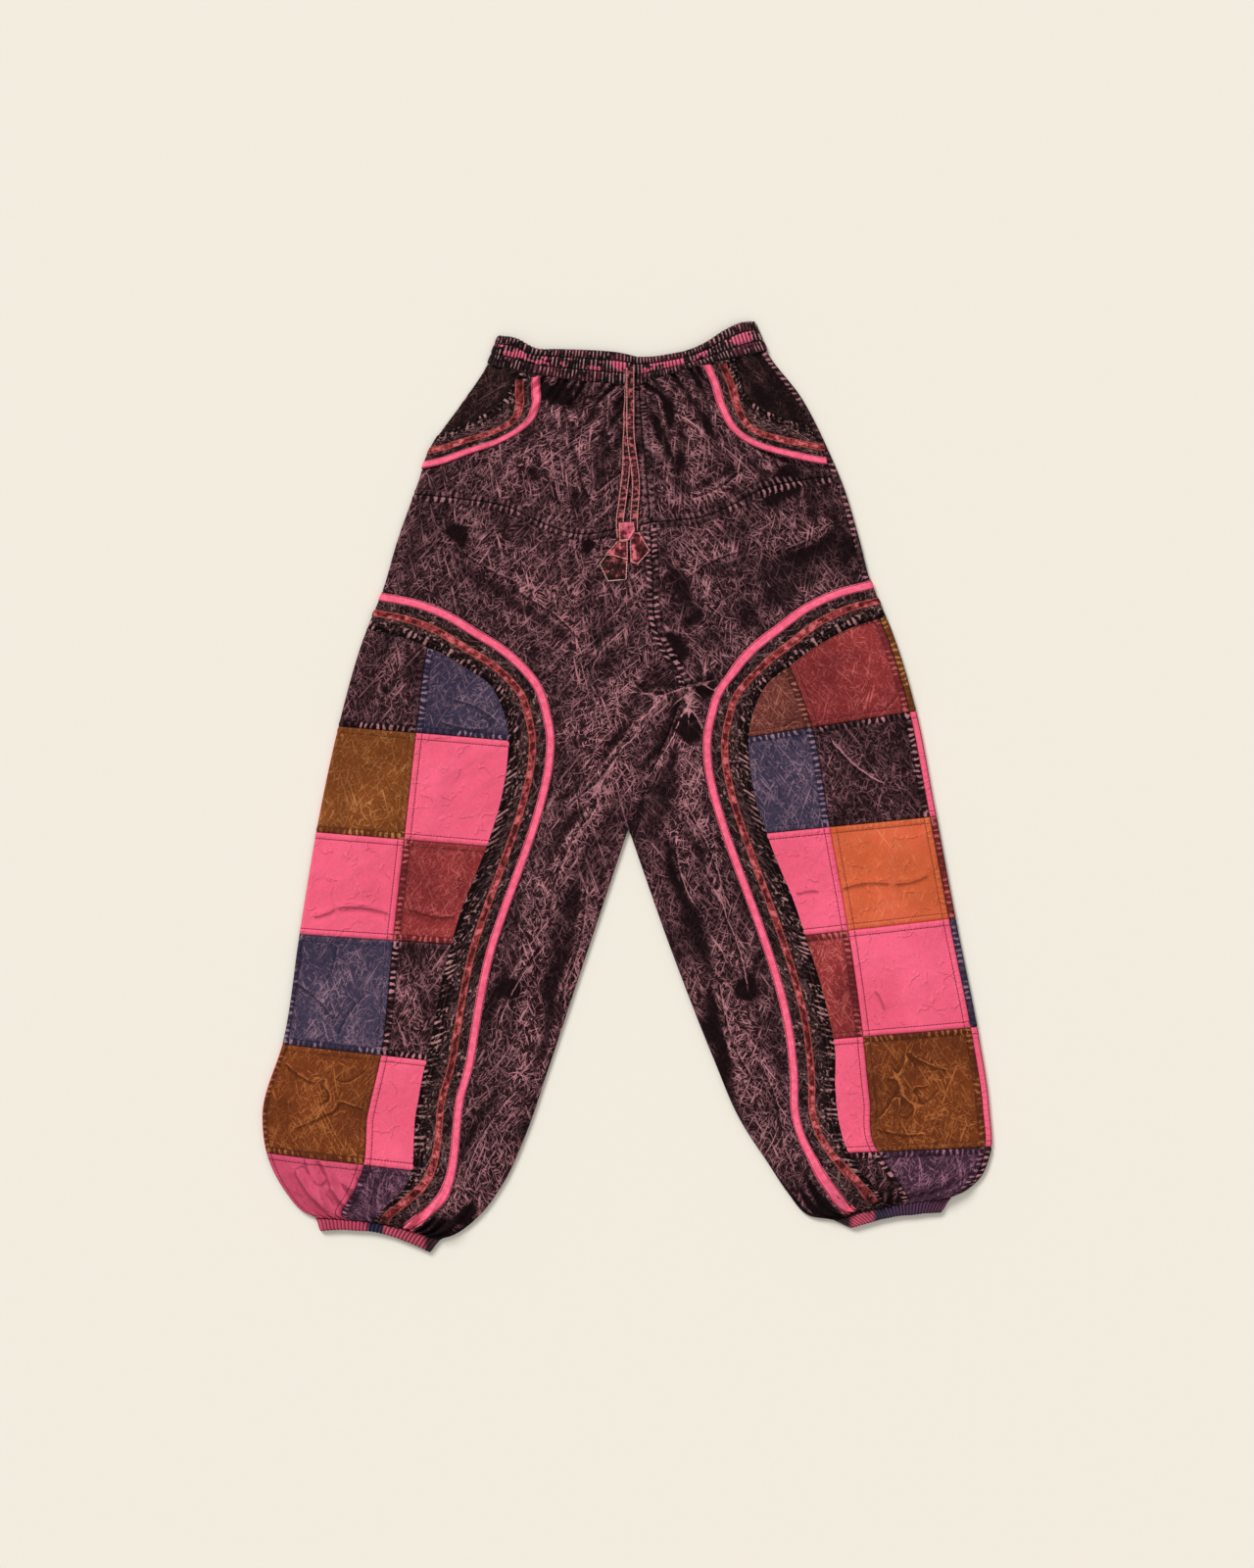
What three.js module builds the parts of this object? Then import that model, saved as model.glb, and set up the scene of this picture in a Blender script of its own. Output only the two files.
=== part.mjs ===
// Wide patchwork trousers with an elastic waist, laid flat, front side up.
// Millimetres. X runs to the right, Y towards the waist and Z up from the surface.
import * as THREE from 'three';
import { mergeVertices } from 'three/addons/utils/BufferGeometryUtils.js';

// Driving sizes
const clothWall = 1.2;
const foldRadius = 2.8;
const seamGap = 0.3;
const centreGap = 0.9;
const patchGap = 0.4;
const lapGap = 0.8;
const tapeWall = 0.75;
const tapeGap = 0.45;
const backInset = tapeGap + tapeWall;
const bagTop = 4.1;
const lap = { left: 0, right: 8 };
const archTape = { pink: { middle: 6.8, width: 9.4 }, rust: { middle: 25.5, width: 8.4 } };
const pocketTape = { pink: { middle: 4.8, width: 8.6 }, rust: { middle: 20, width: 9 } };
const waist = { gathers: 72, ridge: 3, valley: 0.8, backInset: 1.1, backRidge: 1.1 };
const cuff = { gathers: 24, ridge: 2.6, valley: 0.6, backInset: 1, backRidge: 1 };
const drawstring = { width: 9.5, height: 2, steps: 16 };
const tabHeight = 3;

// Cloth colours
const charcoal = { color: 0x2d1e26, roughness: 0.95, metalness: 0 };
const stainedCharcoal = { color: 0x251a20, roughness: 0.9, metalness: 0 };
const pink = { color: 0xe4587a, roughness: 0.9, metalness: 0 };
const brown = { color: 0x73481c, roughness: 0.95, metalness: 0 };
const maroon = { color: 0x7d2d3c, roughness: 0.95, metalness: 0 };
const navy = { color: 0x3c3e5f, roughness: 0.95, metalness: 0 };
const purple = { color: 0x4b3c5f, roughness: 0.95, metalness: 0 };
const orange = { color: 0xd76e46, roughness: 0.95, metalness: 0 };
const rust = { color: 0x963c3c, roughness: 0.95, metalness: 0 };

// A table with named columns becomes a list of rows.
function table(columns, values) {
  return values.map((row) => Object.fromEntries(columns.map((name, i) => [name, row[i]])));
}

// Sections down each half, waist edge first and hem last. The outer point is on the side fold.
// The inner point is on the centre seam, then on the inseam. A corner turns sharply there.
const sectionColumns = ['outerX', 'outerY', 'innerX', 'innerY', 'sag', 'corner'];
const sections = {
  left: table(sectionColumns, [
    [-139, 483, 11, 462, 4, 0],
    [-150, 455, 12, 432, 5, 0],
    [-179, 411, 15, 391, 2, 0],
    [-212, 363, 20, 338, 0, 0],
    [-227, 321, 24, 286, 0, 0],
    [-247, 265, 27, 230, 0, 0],
    [-262, 214, 31, 172, 0, 0],
    [-285, 156, 63, 110, 0, 1],
    [-310, 67, 33, 38, 0, 0],
    [-328, -15, 1, -44, 0, 1],
    [-352, -156, -43, -176, 0, 0],
    [-369, -269, -85, -302, 0, 0],
    [-392, -353, -109, -372, 0, 0],
    [-387, -393, -133, -424, 0, 0],
    [-368, -432, -161, -461, 0, 0],
    [-349, -454, -187, -480, -2, 0],
    [-334, -462, -201, -485, -6, 0],
    [-329, -476, -212, -498, -10, 0],
  ]),
  right: table(sectionColumns, [
    [137, 499, 11, 462, 5, 0],
    [150, 469, 12, 432, -3, 0],
    [188, 418, 15, 391, 0, 0],
    [216, 363, 20, 338, 0, 0],
    [232, 325, 24, 286, 0, 0],
    [249, 269, 27, 230, 0, 0],
    [262, 220, 31, 172, 0, 0],
    [287, 162, 63, 110, 0, 1],
    [311, 81, 33, 38, 0, 0],
    [329, -12, 1, -44, 0, 1],
    [354, -145, 49, -180, 0, 0],
    [378, -267, 92, -290, 0, 0],
    [389, -342, 120, -355, 0, 0],
    [390, -393, 151, -403, 0, 0],
    [381, -416, 171, -433, 0, 0],
    [362, -433, 193, -458, 0, 0],
    [347, -440, 222, -464, -4, 0],
    [336, -456, 240, -472, -4, 0],
  ]),
};

// Height of the yoke seam above or below its level, at shares of the way to the centre
const yokeLevel = 165;
const yokeFade = 262;
const yokeSeam = table(['share', 'left', 'right'], [
  [0, -3, -9],
  [0.2, -5, -11],
  [0.4, -3, -9],
  [0.58, 11, 1],
  [0.76, 15, 8],
  [0.87, 4, 6],
  [1, -9, 3],
]);

// Curves on the cloth: from is the distance from the side fold, down that from the waist seam.
const curveColumns = ['from', 'down'];
const archOuter = table(curveColumns, [
  [0, 271], [38, 273], [76, 281], [116, 297], [151, 312], [181, 331], [205, 354], [221, 383],
  [233, 414], [239, 448], [239, 485], [236, 520], [229, 565], [221, 608], [214, 650],
  [209, 700], [208, 750], [211, 800], [216, 850], [209, 885], [193, 912], [165, 937],
  [138, 956], [114, 975], [104, 990],
]);
const archInner = table(curveColumns, [
  [0, 316], [31, 318], [64, 325], [90, 333], [118, 345], [148, 361], [166, 384], [181, 416],
  [187, 446], [189, 490], [184, 537], [177, 573], [169, 608], [163, 650], [158, 695],
  [156, 740], [156, 780], [163, 825], [163, 862], [158, 888], [144, 908], [118, 929],
  [92, 950], [70, 972], [62, 990],
]);
const pocketMouth = {
  left: table(curveColumns, [[35, -4], [36, 18], [38, 42], [35, 53], [24, 70], [12, 84], [-2, 95]]),
  right: table(curveColumns, [[35, -4], [46, 28], [53, 48], [48, 72], [36, 84], [23, 94], [-2, 105]]),
};
const pocketOuter = {
  left: table(curveColumns, [
    [55, -4], [64, 14], [77, 36], [84, 62], [80, 80], [66, 100], [43, 116], [23, 128], [-2, 137],
  ]),
  right: table(curveColumns, [
    [71, -4], [79, 28], [89, 56], [91, 90], [76, 118], [57, 132], [38, 141], [20, 148], [-2, 153],
  ]),
};
const patchColumnSeam = table(['down', 'left', 'right'], [
  [300, 66, 122],
  [424, 84, 114],
  [538, 95, 116],
  [650, 101, 117],
  [770, 107, 124],
  [840, 113, 128],
  [895, 103, 124],
  [925, 80, 95],
  [955, 50, 60],
  [990, 30, 34],
]);
const patchRows = table(['left', 'right'], [
  [316, 316],
  [424, 422],
  [540, 537],
  [651, 648],
  [770, 767],
  [890, 896],
  [980, 970],
]);
const patchCloth = {
  left: {
    outer: [charcoal, brown, pink, navy, brown, pink],
    inner: [navy, pink, maroon, charcoal, pink, purple],
  },
  right: {
    outer: [maroon, charcoal, orange, pink, brown, purple],
    inner: [brown, navy, pink, maroon, pink, charcoal],
  },
};
const backCloth = [brown, maroon, pink];

// Main folds of the front, from one end to the other, with height and half width
const foldColumns = ['from', 'down', 'endFrom', 'endDown', 'height', 'halfWidth'];
const folds = {
  left: table(foldColumns, [
    [80, 25, 150, 150, 3, 14],
    [118, 15, 135, 75, 2, 12],
    [215, 290, 255, 370, 4, 16],
    [300, 280, 285, 480, 5, 18],
    [275, 520, 250, 700, 4.5, 16],
    [262, 720, 240, 900, 6, 16],
    [225, 890, 150, 975, 6, 12],
    [40, 350, 60, 410, 2.5, 14],
    [130, 440, 120, 530, 3, 16],
    [30, 560, 70, 640, 3.5, 18],
    [60, 670, 35, 760, 4, 18],
    [120, 690, 140, 760, 3, 14],
    [60, 790, 70, 880, 5, 20],
    [25, 900, 35, 965, 8, 12],
    [70, 900, 62, 970, 8, 12],
    [120, 900, 90, 970, 8, 12],
  ]),
  right: table(foldColumns, [
    [100, 30, 60, 130, 2.5, 14],
    [120, 30, 150, 140, 3, 12],
    [180, 200, 160, 300, 4, 16],
    [240, 330, 270, 520, 5, 18],
    [275, 540, 250, 700, 4.5, 16],
    [255, 730, 235, 890, 6, 16],
    [210, 890, 130, 965, 6, 12],
    [60, 350, 50, 410, 2.5, 14],
    [150, 440, 140, 530, 3, 16],
    [50, 560, 80, 640, 3.5, 18],
    [70, 670, 55, 760, 4, 18],
    [140, 680, 145, 750, 3, 12],
    [60, 790, 70, 890, 5, 20],
    [25, 905, 35, 960, 8, 12],
    [75, 905, 62, 962, 8, 12],
    [125, 905, 90, 962, 8, 12],
  ]),
};

// Rows of points down a leg: close together round the arch, wider below it
const crownRows = [272, 274, 279, 287, 301, 315.5, 318, 323, 350, 368, 394];
const patchTop = 318.4;
const pocketRows = [18, 36, 52, 67, 80, 92, 102, 112, 122, 129, 134];
const yokeRows = [142, 147, 152, 158];
const rowsPerPatch = [3, 3, 3, 3, 5];

// Smooth curve through values at uneven places, with straight approaches to corners
function through(places, values, corners, place) {
  const last = places.length - 1;
  let i = 0;
  while (i < last - 1 && place > places[i + 1]) i += 1;
  const span = (j) => places[j + 1] - places[j];
  const slope = (j) => (values[j + 1] - values[j]) / span(j);
  const tangent = (j) => {
    if (j === 0 || j === last || corners[j]) return slope(i);
    return (slope(j - 1) * span(j) + slope(j) * span(j - 1)) / (span(j - 1) + span(j));
  };
  const w = (place - places[i]) / span(i);
  const start = values[i] * (2 * w ** 3 - 3 * w ** 2 + 1) + values[i + 1] * (3 * w ** 2 - 2 * w ** 3);
  const turn = tangent(i) * (w ** 3 - 2 * w ** 2 + w) + tangent(i + 1) * (w ** 3 - w ** 2);
  return start + turn * span(i);
}

// Each half of the garment: its paths, and how far down each section lies
function makeHalf(side) {
  const rows = sections[side];
  const down = [0];
  for (let i = 1; i < rows.length; i += 1) {
    const step = Math.hypot(rows[i].outerX - rows[i - 1].outerX, rows[i].outerY - rows[i - 1].outerY);
    down.push(down[i - 1] + step);
  }
  const places = down.map((value) => value - down[1]);
  const none = rows.map(() => 0);
  const turns = rows.map((row) => row.corner);
  const innerPlaces = [0];
  for (let i = 1; i < rows.length; i += 1) {
    const step = Math.hypot(rows[i].innerX - rows[i - 1].innerX, rows[i].innerY - rows[i - 1].innerY);
    innerPlaces.push(innerPlaces[i - 1] + step);
  }
  const column = (key) => rows.map((row) => row[key]);
  const read = (key, v) => through(places, column(key), none, v);
  const readInner = (key, v) => {
    let i = 0;
    while (i < places.length - 2 && v > places[i + 1]) i += 1;
    const share = (v - places[i]) / (places[i + 1] - places[i]);
    const place = THREE.MathUtils.lerp(innerPlaces[i], innerPlaces[i + 1], share);
    return through(innerPlaces, column(key), turns, place);
  };
  return {
    side,
    places,
    outer: (v) => new THREE.Vector2(read('outerX', v), read('outerY', v)),
    inner: (v) => new THREE.Vector2(readInner('innerX', v), readInner('innerY', v)),
    sag: (v) => read('sag', v),
  };
}
const halves = { left: makeHalf('left'), right: makeHalf('right') };
const pastFold = -30;
const crotchRow = 7;
const legEndRow = 16;
const cuffGap = 1.2;
const hemRow = 17;

function widthAt(half, v) {
  return half.inner(v).distanceTo(half.outer(v));
}

// A point on the cloth. f runs from the side fold to the centre or the inseam, v down the leg,
// and lift stands out of the cloth. The cloth turns round the fold, and on to the other layer.
function onCloth(half, layer, f, v, lift) {
  const outer = half.outer(v);
  const inner = half.inner(v);
  const width = inner.distanceTo(outer);
  const crotch = half.places[crotchRow];
  const turned = THREE.MathUtils.smoothstep(v, crotch, crotch + 25) * Math.PI / 2;
  const innerFlat = width - centreGap / 2 - foldRadius * Math.sin(turned);
  const radius = foldRadius + lift;
  let across = f;
  let height = radius;
  if (f < foldRadius) {
    const angle = (foldRadius - f) / foldRadius;
    const beyond = Math.max(0, angle - Math.PI) * foldRadius;
    const bent = Math.min(angle, Math.PI);
    across = foldRadius - radius * Math.sin(bent) + beyond;
    height = radius * Math.cos(bent);
  } else if (f > innerFlat) {
    const angle = (f - innerFlat) / foldRadius;
    across = innerFlat + radius * Math.sin(angle);
    height = radius * Math.cos(angle);
  }
  const share = across / width;
  const x = THREE.MathUtils.lerp(outer.x, inner.x, share);
  const y = THREE.MathUtils.lerp(outer.y, inner.y, share) - half.sag(v) * 4 * share * (1 - share);
  const z = layer === 'front' ? foldRadius + height : foldRadius - height;
  return new THREE.Vector3(x, y, z);
}

// The middle of the side fold, where the front layer passes into the back layer
const midFold = foldRadius * (1 - Math.PI / 2);

// The last place before the inseam or the centre seam
function innerEnd(half, v) {
  const crotch = half.places[crotchRow];
  const turned = THREE.MathUtils.smoothstep(v, crotch, crotch + 25) * Math.PI / 2;
  const bent = foldRadius * (turned - Math.sin(turned)) - seamGap / 2 * Math.sin(turned);
  return widthAt(half, v) - centreGap / 2 + bent;
}

// Where a back piece stops: at the middle of the fold, or lapped onto the front
function backStart(half) {
  const reach = lap[half.side];
  if (reach === 0) return midFold + seamGap / 2;
  return 2 * foldRadius - Math.PI * foldRadius - reach + lapGap / 2;
}

function frontStart(half) {
  return lap[half.side] === 0 ? midFold + seamGap / 2 : lap[half.side] + lapGap / 2;
}

function curvePoints(curve, count) {
  const points = curve.map((row) => new THREE.Vector2(row.from, row.down));
  return new THREE.SplineCurve(points).getPoints(count);
}

// Distance of a curve from the fold at a given place down the leg
function curveAt(curve, v) {
  const points = curvePoints(curve, 240);
  const i = points.findIndex((point) => point.y >= v);
  if (i === 0) return points[0].x;
  if (i < 0) return points.at(-1).x;
  const before = points[i - 1];
  return THREE.MathUtils.mapLinear(v, before.y, points[i].y, before.x, points[i].x);
}

function foldHeight(side, f, v) {
  let height = 0;
  for (const fold of folds[side]) {
    const along = new THREE.Vector2(fold.endFrom - fold.from, fold.endDown - fold.down);
    const here = new THREE.Vector2(f - fold.from, v - fold.down);
    const share = THREE.MathUtils.clamp(here.dot(along) / along.lengthSq(), 0, 1);
    const away = here.addScaledVector(along, -share).length();
    height += fold.height * Math.exp(-((away / fold.halfWidth) ** 2));
  }
  return height;
}

const group = new THREE.Group();

// Adds one closed solid, with its faces turned outwards
function addPiece(name, geometry, look) {
  const position = geometry.attributes.position;
  const index = geometry.index;
  const corner = [new THREE.Vector3(), new THREE.Vector3(), new THREE.Vector3()];
  let volume = 0;
  for (let i = 0; i < index.count; i += 3) {
    corner.forEach((point, k) => point.fromBufferAttribute(position, index.getX(i + k)));
    volume += corner[0].dot(corner[1].clone().cross(corner[2]));
  }
  if (volume < 0) {
    for (let i = 0; i < index.count; i += 3) {
      const second = index.getX(i + 1);
      index.setX(i + 1, index.getX(i + 2));
      index.setX(i + 2, second);
    }
  }
  geometry.computeVertexNormals();
  const mesh = new THREE.Mesh(geometry, new THREE.MeshStandardMaterial(look));
  mesh.name = name;
  group.add(mesh);
}

// A plate of cloth: columns across, one row of points for each place in rows
function clothPlate(columns, rows, place) {
  const geometry = new THREE.BoxGeometry(1, 1, 1, columns, rows.length - 1, 1);
  const position = geometry.attributes.position;
  for (let i = 0; i < position.count; i += 1) {
    const u = position.getX(i) + 0.5;
    const step = Math.round((position.getY(i) + 0.5) * (rows.length - 1));
    const point = place(u, step, position.getZ(i) > 0);
    position.setXYZ(i, point.x, point.y, point.z);
  }
  return geometry;
}

function edgeFade(u, step, last) {
  const side = Math.min(u, 1 - u) * 4;
  const end = Math.min(step, last - step);
  return THREE.MathUtils.smoothstep(Math.min(side, end), 0, 1);
}

// Columns of points across a panel: close together where it turns round a fold
function columnPlaces(start, end, columns, bends) {
  const room = Math.min(1, (end - start) / (bends.first.at(-1) + bends.last[0] + 2));
  const first = bends.first.map((reach) => start + reach * room);
  const last = bends.last.map((reach) => end - reach * room);
  const between = Array.from({ length: columns - 1 }, (_, i) => (
    THREE.MathUtils.lerp(first.at(-1), last[0], (i + 1) / columns)));
  return [...first, ...between, ...last];
}

function bendsFor(half, layer, edges) {
  const quarter = Math.PI / 2 * foldRadius;
  const lapped = layer === 'back' && lap[half.side] > 0;
  const toFold = foldRadius - backStart(half);
  const first = lapped ? [0, toFold - 2 * quarter, toFold - quarter, toFold] : [0, quarter - seamGap / 2];
  return { first: edges.atFold ? first : [0], last: edges.atInseam ? [quarter, 0] : [0] };
}

// A panel between two edges that are given as distances from the fold
function addPanel(name, look, half, layer, rows, columns, edges) {
  const last = rows.length - 1;
  const shift = edges.shift ?? (() => 0);
  const bends = bendsFor(half, layer, edges);
  const count = columns + bends.first.length + bends.last.length - 2;
  const geometry = clothPlate(count, rows, (u, step, outside) => {
    const base = rows[step];
    const column = Math.round(u * count);
    const placeAt = (v) => columnPlaces(edges.start(v), edges.end(v), columns, bends)[column];
    const near = base + shift(placeAt(base), base);
    const v = base + shift(placeAt(near), base);
    const f = placeAt(v);
    const inset = edges.inset ?? 0;
    if (!outside) return onCloth(half, layer, f, v, -inset - clothWall);
    const raised = layer === 'front' && edges.raised
      ? foldHeight(half.side, f, v) * edgeFade(u, step, last)
      : 0;
    return onCloth(half, layer, f, v, raised - inset);
  });
  addPiece(name, geometry, look);
}

// The yoke seam waves up and down, and the rows near it follow
function yokeShift(half) {
  return (f, base) => {
    const share = THREE.MathUtils.clamp(f / widthAt(half, base), 0, 1);
    const seam = through(
      yokeSeam.map((row) => row.share),
      yokeSeam.map((row) => row[half.side]),
      yokeSeam.map(() => 0),
      share,
    );
    if (base <= yokeLevel) return seam * base / yokeLevel;
    return seam * Math.max(0, (yokeFade - base) / (yokeFade - yokeLevel));
  };
}

function evenRows(first, final, count) {
  return Array.from({ length: count + 1 }, (_, i) => THREE.MathUtils.lerp(first, final, i / count));
}

// Places down the leg shared by every piece below the crown of the arch
function legRows(half) {
  const end = half.places[legEndRow] - cuffGap / 2;
  const seams = patchRows.map((row) => row[half.side]).slice(1, -1);
  const rows = [...crownRows, half.places[crotchRow]].sort((a, b) => a - b);
  seams.forEach((seam, i) => {
    const next = i < seams.length - 1 ? seams[i + 1] : end;
    rows.push(...evenRows(seam, next, rowsPerPatch[i]).slice(0, i < seams.length - 1 ? -1 : undefined));
  });
  return rows;
}

function addYokeAndPocket(half) {
  const side = half.side;
  const start = frontStart(half);
  const outerEdge = (v) => Math.max(start, curveAt(pocketOuter[side], v));
  const mouthEdge = (v) => Math.max(start, curveAt(pocketMouth[side], v));
  const bandRows = [seamGap, ...pocketRows];
  const endRow = side === 'left' ? bandRows.length : bandRows.length + 2;
  const allRows = [...bandRows, ...yokeRows, yokeLevel - seamGap / 2];
  addPanel(`yoke_${side}`, charcoal, half, 'front', allRows, 5, {
    start: (v) => outerEdge(v) + seamGap,
    end: (v) => innerEnd(half, v),
    shift: yokeShift(half),
    raised: true,
    atFold: true,
    atInseam: true,
  });
  addPanel(`pocket_band_${side}`, stainedCharcoal, half, 'front', allRows.slice(0, endRow), 2, {
    start: mouthEdge,
    end: outerEdge,
    shift: yokeShift(half),
    atFold: true,
  });
  const bagRows = [seamGap * 2, 20, 42, 56, 70, 80, 88];
  addPanel(`pocket_bag_${side}`, stainedCharcoal, half, 'front', bagRows, 4, {
    start: () => foldRadius + 2,
    end: (v) => mouthEdge(v) + 9,
    inset: 2 * foldRadius - bagTop,
  });
  for (const [name, look] of [['pink', pink], ['rust', rust]]) {
    addTape(`pocket_${name}_${side}`, look, half, pocketPath(half, start), pocketTape[name]);
  }
}

// Paths for tapes: points on the unrolled cloth, front first. Past the fold, s is negative.
function pocketPath(half, start) {
  const shift = yokeShift(half);
  const path = curvePoints(pocketOuter[half.side], 14)
    .filter((point) => point.y > 1 && point.x > start + 13);
  return path.map((point) => new THREE.Vector2(point.x - midFold, point.y + shift(point.x, point.y)));
}

function archPath(half) {
  const end = half.places[legEndRow] - 1;
  const edge = curvePoints(archOuter, 26).filter((point) => point.y < end);
  const reach = foldRadius - midFold;
  const onFront = (point) => new THREE.Vector2(point.x - midFold, point.y);
  const onBack = (point) => new THREE.Vector2(midFold + 2 * lap[half.side] - point.x, point.y);
  const front = edge.map(onFront).filter((point) => point.x > reach + 2).reverse();
  const back = edge.map(onBack).filter((point) => point.x < -reach - 2);
  const turn = [1, 0, -1].map((share) => new THREE.Vector2(share * reach, archOuter[0].down));
  return [...front, ...turn, ...back];
}

// A flat tape a fixed way inside an edge, over the fold where the path crosses it
function addTape(name, look, half, path, tape) {
  const sides = [tape.middle - tape.width / 2, tape.middle + tape.width / 2];
  const normals = path.map((point, i) => {
    const before = path[Math.max(i - 1, 0)];
    const after = path[Math.min(i + 1, path.length - 1)];
    const along = after.clone().sub(before).normalize();
    return new THREE.Vector2(along.y, -along.x);
  });
  const towardSide = normals[0].x * path[0].x > 0 ? -1 : 1;
  const geometry = clothPlate(1, path, (u, step, outside) => {
    const reach = THREE.MathUtils.lerp(sides[0], sides[1], u) * towardSide;
    const s = path[step].x + normals[step].x * reach;
    const v = path[step].y + normals[step].y * reach;
    const raised = outside ? tapeWall : 0;
    if (s >= 0) return onCloth(half, 'front', s + midFold, v, tapeGap + raised);
    const f = midFold - s;
    const bend = THREE.MathUtils.clamp((f - midFold) / (0.8 * (foldRadius - midFold)), 0, 1);
    return onCloth(half, 'back', f, v, tapeGap + raised - bend * backInset);
  });
  addPiece(name, geometry, look);
}

// Places just clear of an arch edge, on its outer side or its inner side
function clearOutside(edge, v) {
  return Math.max(edge(v), edge(v + seamGap)) + seamGap;
}

function clearInside(edge, v) {
  return Math.min(edge(v), edge(v - patchGap)) - patchGap;
}

function addLeg(half) {
  const side = half.side;
  const rows = legRows(half);
  const outerEdge = (v) => (v < crownRows[0] ? pastFold : curveAt(archOuter, v));
  const innerEdge = (v) => (v < archInner[0].down ? pastFold : curveAt(archInner, v));
  const hipRows = [yokeLevel + seamGap / 2, 185, 205, 225, 245, 260, 271.6];
  const front = frontStart(half);
  const back = backStart(half);
  const shift = 2 * lap[side];
  addPanel(`front_leg_${side}`, charcoal, half, 'front', [...hipRows, ...rows], 5, {
    start: (v) => Math.max(front, clearOutside(outerEdge, v)),
    end: (v) => innerEnd(half, v),
    shift: yokeShift(half),
    raised: true,
    atFold: true,
    atInseam: true,
  });
  const seatRows = [seamGap, 36, 67, 92, 122, 147, 165, 205, 245, 271.6];
  addPanel(`back_leg_${side}`, charcoal, half, 'back', [...seatRows, ...rows], 3, {
    start: (v) => Math.max(back, clearOutside(outerEdge, v) - shift),
    end: (v) => innerEnd(half, v),
    atFold: true,
    atInseam: true,
  });
  addPanel(`arch_band_front_${side}`, stainedCharcoal, half, 'front', rows, 2, {
    start: (v) => Math.max(front, innerEdge(v)),
    end: (v) => Math.max(front + 5, outerEdge(v)),
    atFold: true,
  });
  addPanel(`arch_band_back_${side}`, stainedCharcoal, half, 'back', rows, 2, {
    start: (v) => Math.max(back, innerEdge(v) - shift),
    end: (v) => Math.max(foldRadius + 1, outerEdge(v) - shift),
    inset: backInset,
    atFold: true,
  });
  for (const [name, look] of [['pink', pink], ['rust', rust]]) {
    addTape(`arch_${name}_${side}`, look, half, archPath(half), archTape[name]);
  }
  addPatches(half, rows, innerEdge);
}

function rowsBetween(rows, first, final) {
  const between = rows.filter((v) => v > first + 1 && v < final - 1);
  return [first + patchGap / 2, ...between, final - patchGap / 2];
}

function addPatches(half, rows, innerEdge) {
  const side = half.side;
  const front = frontStart(half);
  const back = backStart(half);
  const shift = 2 * lap[side];
  const columnSeam = (v) => through(
    patchColumnSeam.map((row) => row.down),
    patchColumnSeam.map((row) => row[side]),
    patchColumnSeam.map(() => 0),
    v,
  );
  const seams = patchRows.map((row) => row[side]);
  seams[seams.length - 1] = half.places[legEndRow];
  const lowerEnd = half.places[legEndRow] - cuffGap / 2 + patchGap / 2;
  for (let i = 0; i < 6; i += 1) {
    const below = i < 5 ? seams[i + 1] : lowerEnd;
    const outerRows = rowsBetween(rows, i === 0 ? patchTop : seams[i], below);
    const middle = (v) => Math.min(columnSeam(v) - patchGap, clearInside(innerEdge, v));
    addPanel(`patch_${side}_outer_${i + 1}`, patchCloth[side].outer[i], half, 'front', outerRows, 4, {
      start: () => front,
      end: (v) => Math.max(front + 5, middle(v)),
      raised: true,
      atFold: true,
    });
    const innerTop = rows.find((v) => innerEdge(v) > columnSeam(v) + 3) - patchGap / 2;
    const innerRows = rowsBetween(rows, i === 0 ? innerTop : seams[i], below);
    addPanel(`patch_${side}_inner_${i + 1}`, patchCloth[side].inner[i], half, 'front', innerRows, 3, {
      start: (v) => columnSeam(v),
      end: (v) => clearInside(innerEdge, v),
      raised: true,
    });
  }
  for (let i = 0; i < 3; i += 1) {
    const below = i < 2 ? seams[2 * i + 2] : lowerEnd;
    const backRows = rowsBetween(rows, i === 0 ? patchTop : seams[2 * i], below);
    addPanel(`back_patches_${side}_${i + 1}`, backCloth[i], half, 'back', backRows, 3, {
      start: () => back,
      end: (v) => Math.max(foldRadius + 1, clearInside(innerEdge, v) - shift),
      atFold: true,
    });
  }
}

// A flattened ring of gathered cloth. place gives a point from the turn, the height and the lift.
function gatheredRing(look, name, gathers, rows, place) {
  const outer = rows.map((row) => new THREE.Vector2(2, row.share));
  const profile = [new THREE.Vector2(1, rows[0].share), ...outer, new THREE.Vector2(1, rows.at(-1).share)];
  profile.push(profile[0].clone());
  const steps = gathers * 2;
  const geometry = new THREE.LatheGeometry(profile, steps);
  const position = geometry.attributes.position;
  for (let i = 0; i < position.count; i += 1) {
    const angle = Math.atan2(position.getX(i), position.getZ(i));
    const step = ((Math.round(angle / (2 * Math.PI) * steps) % steps) + steps) % steps;
    const outside = Math.hypot(position.getX(i), position.getZ(i)) > 1.5;
    const share = position.getY(i);
    const row = rows.find((item) => Math.abs(item.share - share) < 1e-6);
    const point = place(step / steps, share, outside, (step % 2 === 0 ? 1 : 0) * row.puff);
    position.setXYZ(i, point.x, point.y, point.z);
  }
  addPiece(name, geometry, look);
}

// Three puffs between two rows of stitching, and a flatter edge
const waistRows = table(['share', 'puff'], [[0, 0.5], [0.2, 1], [0.42, 0.2], [0.78, 0.9], [1, 0.4]]);

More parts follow.
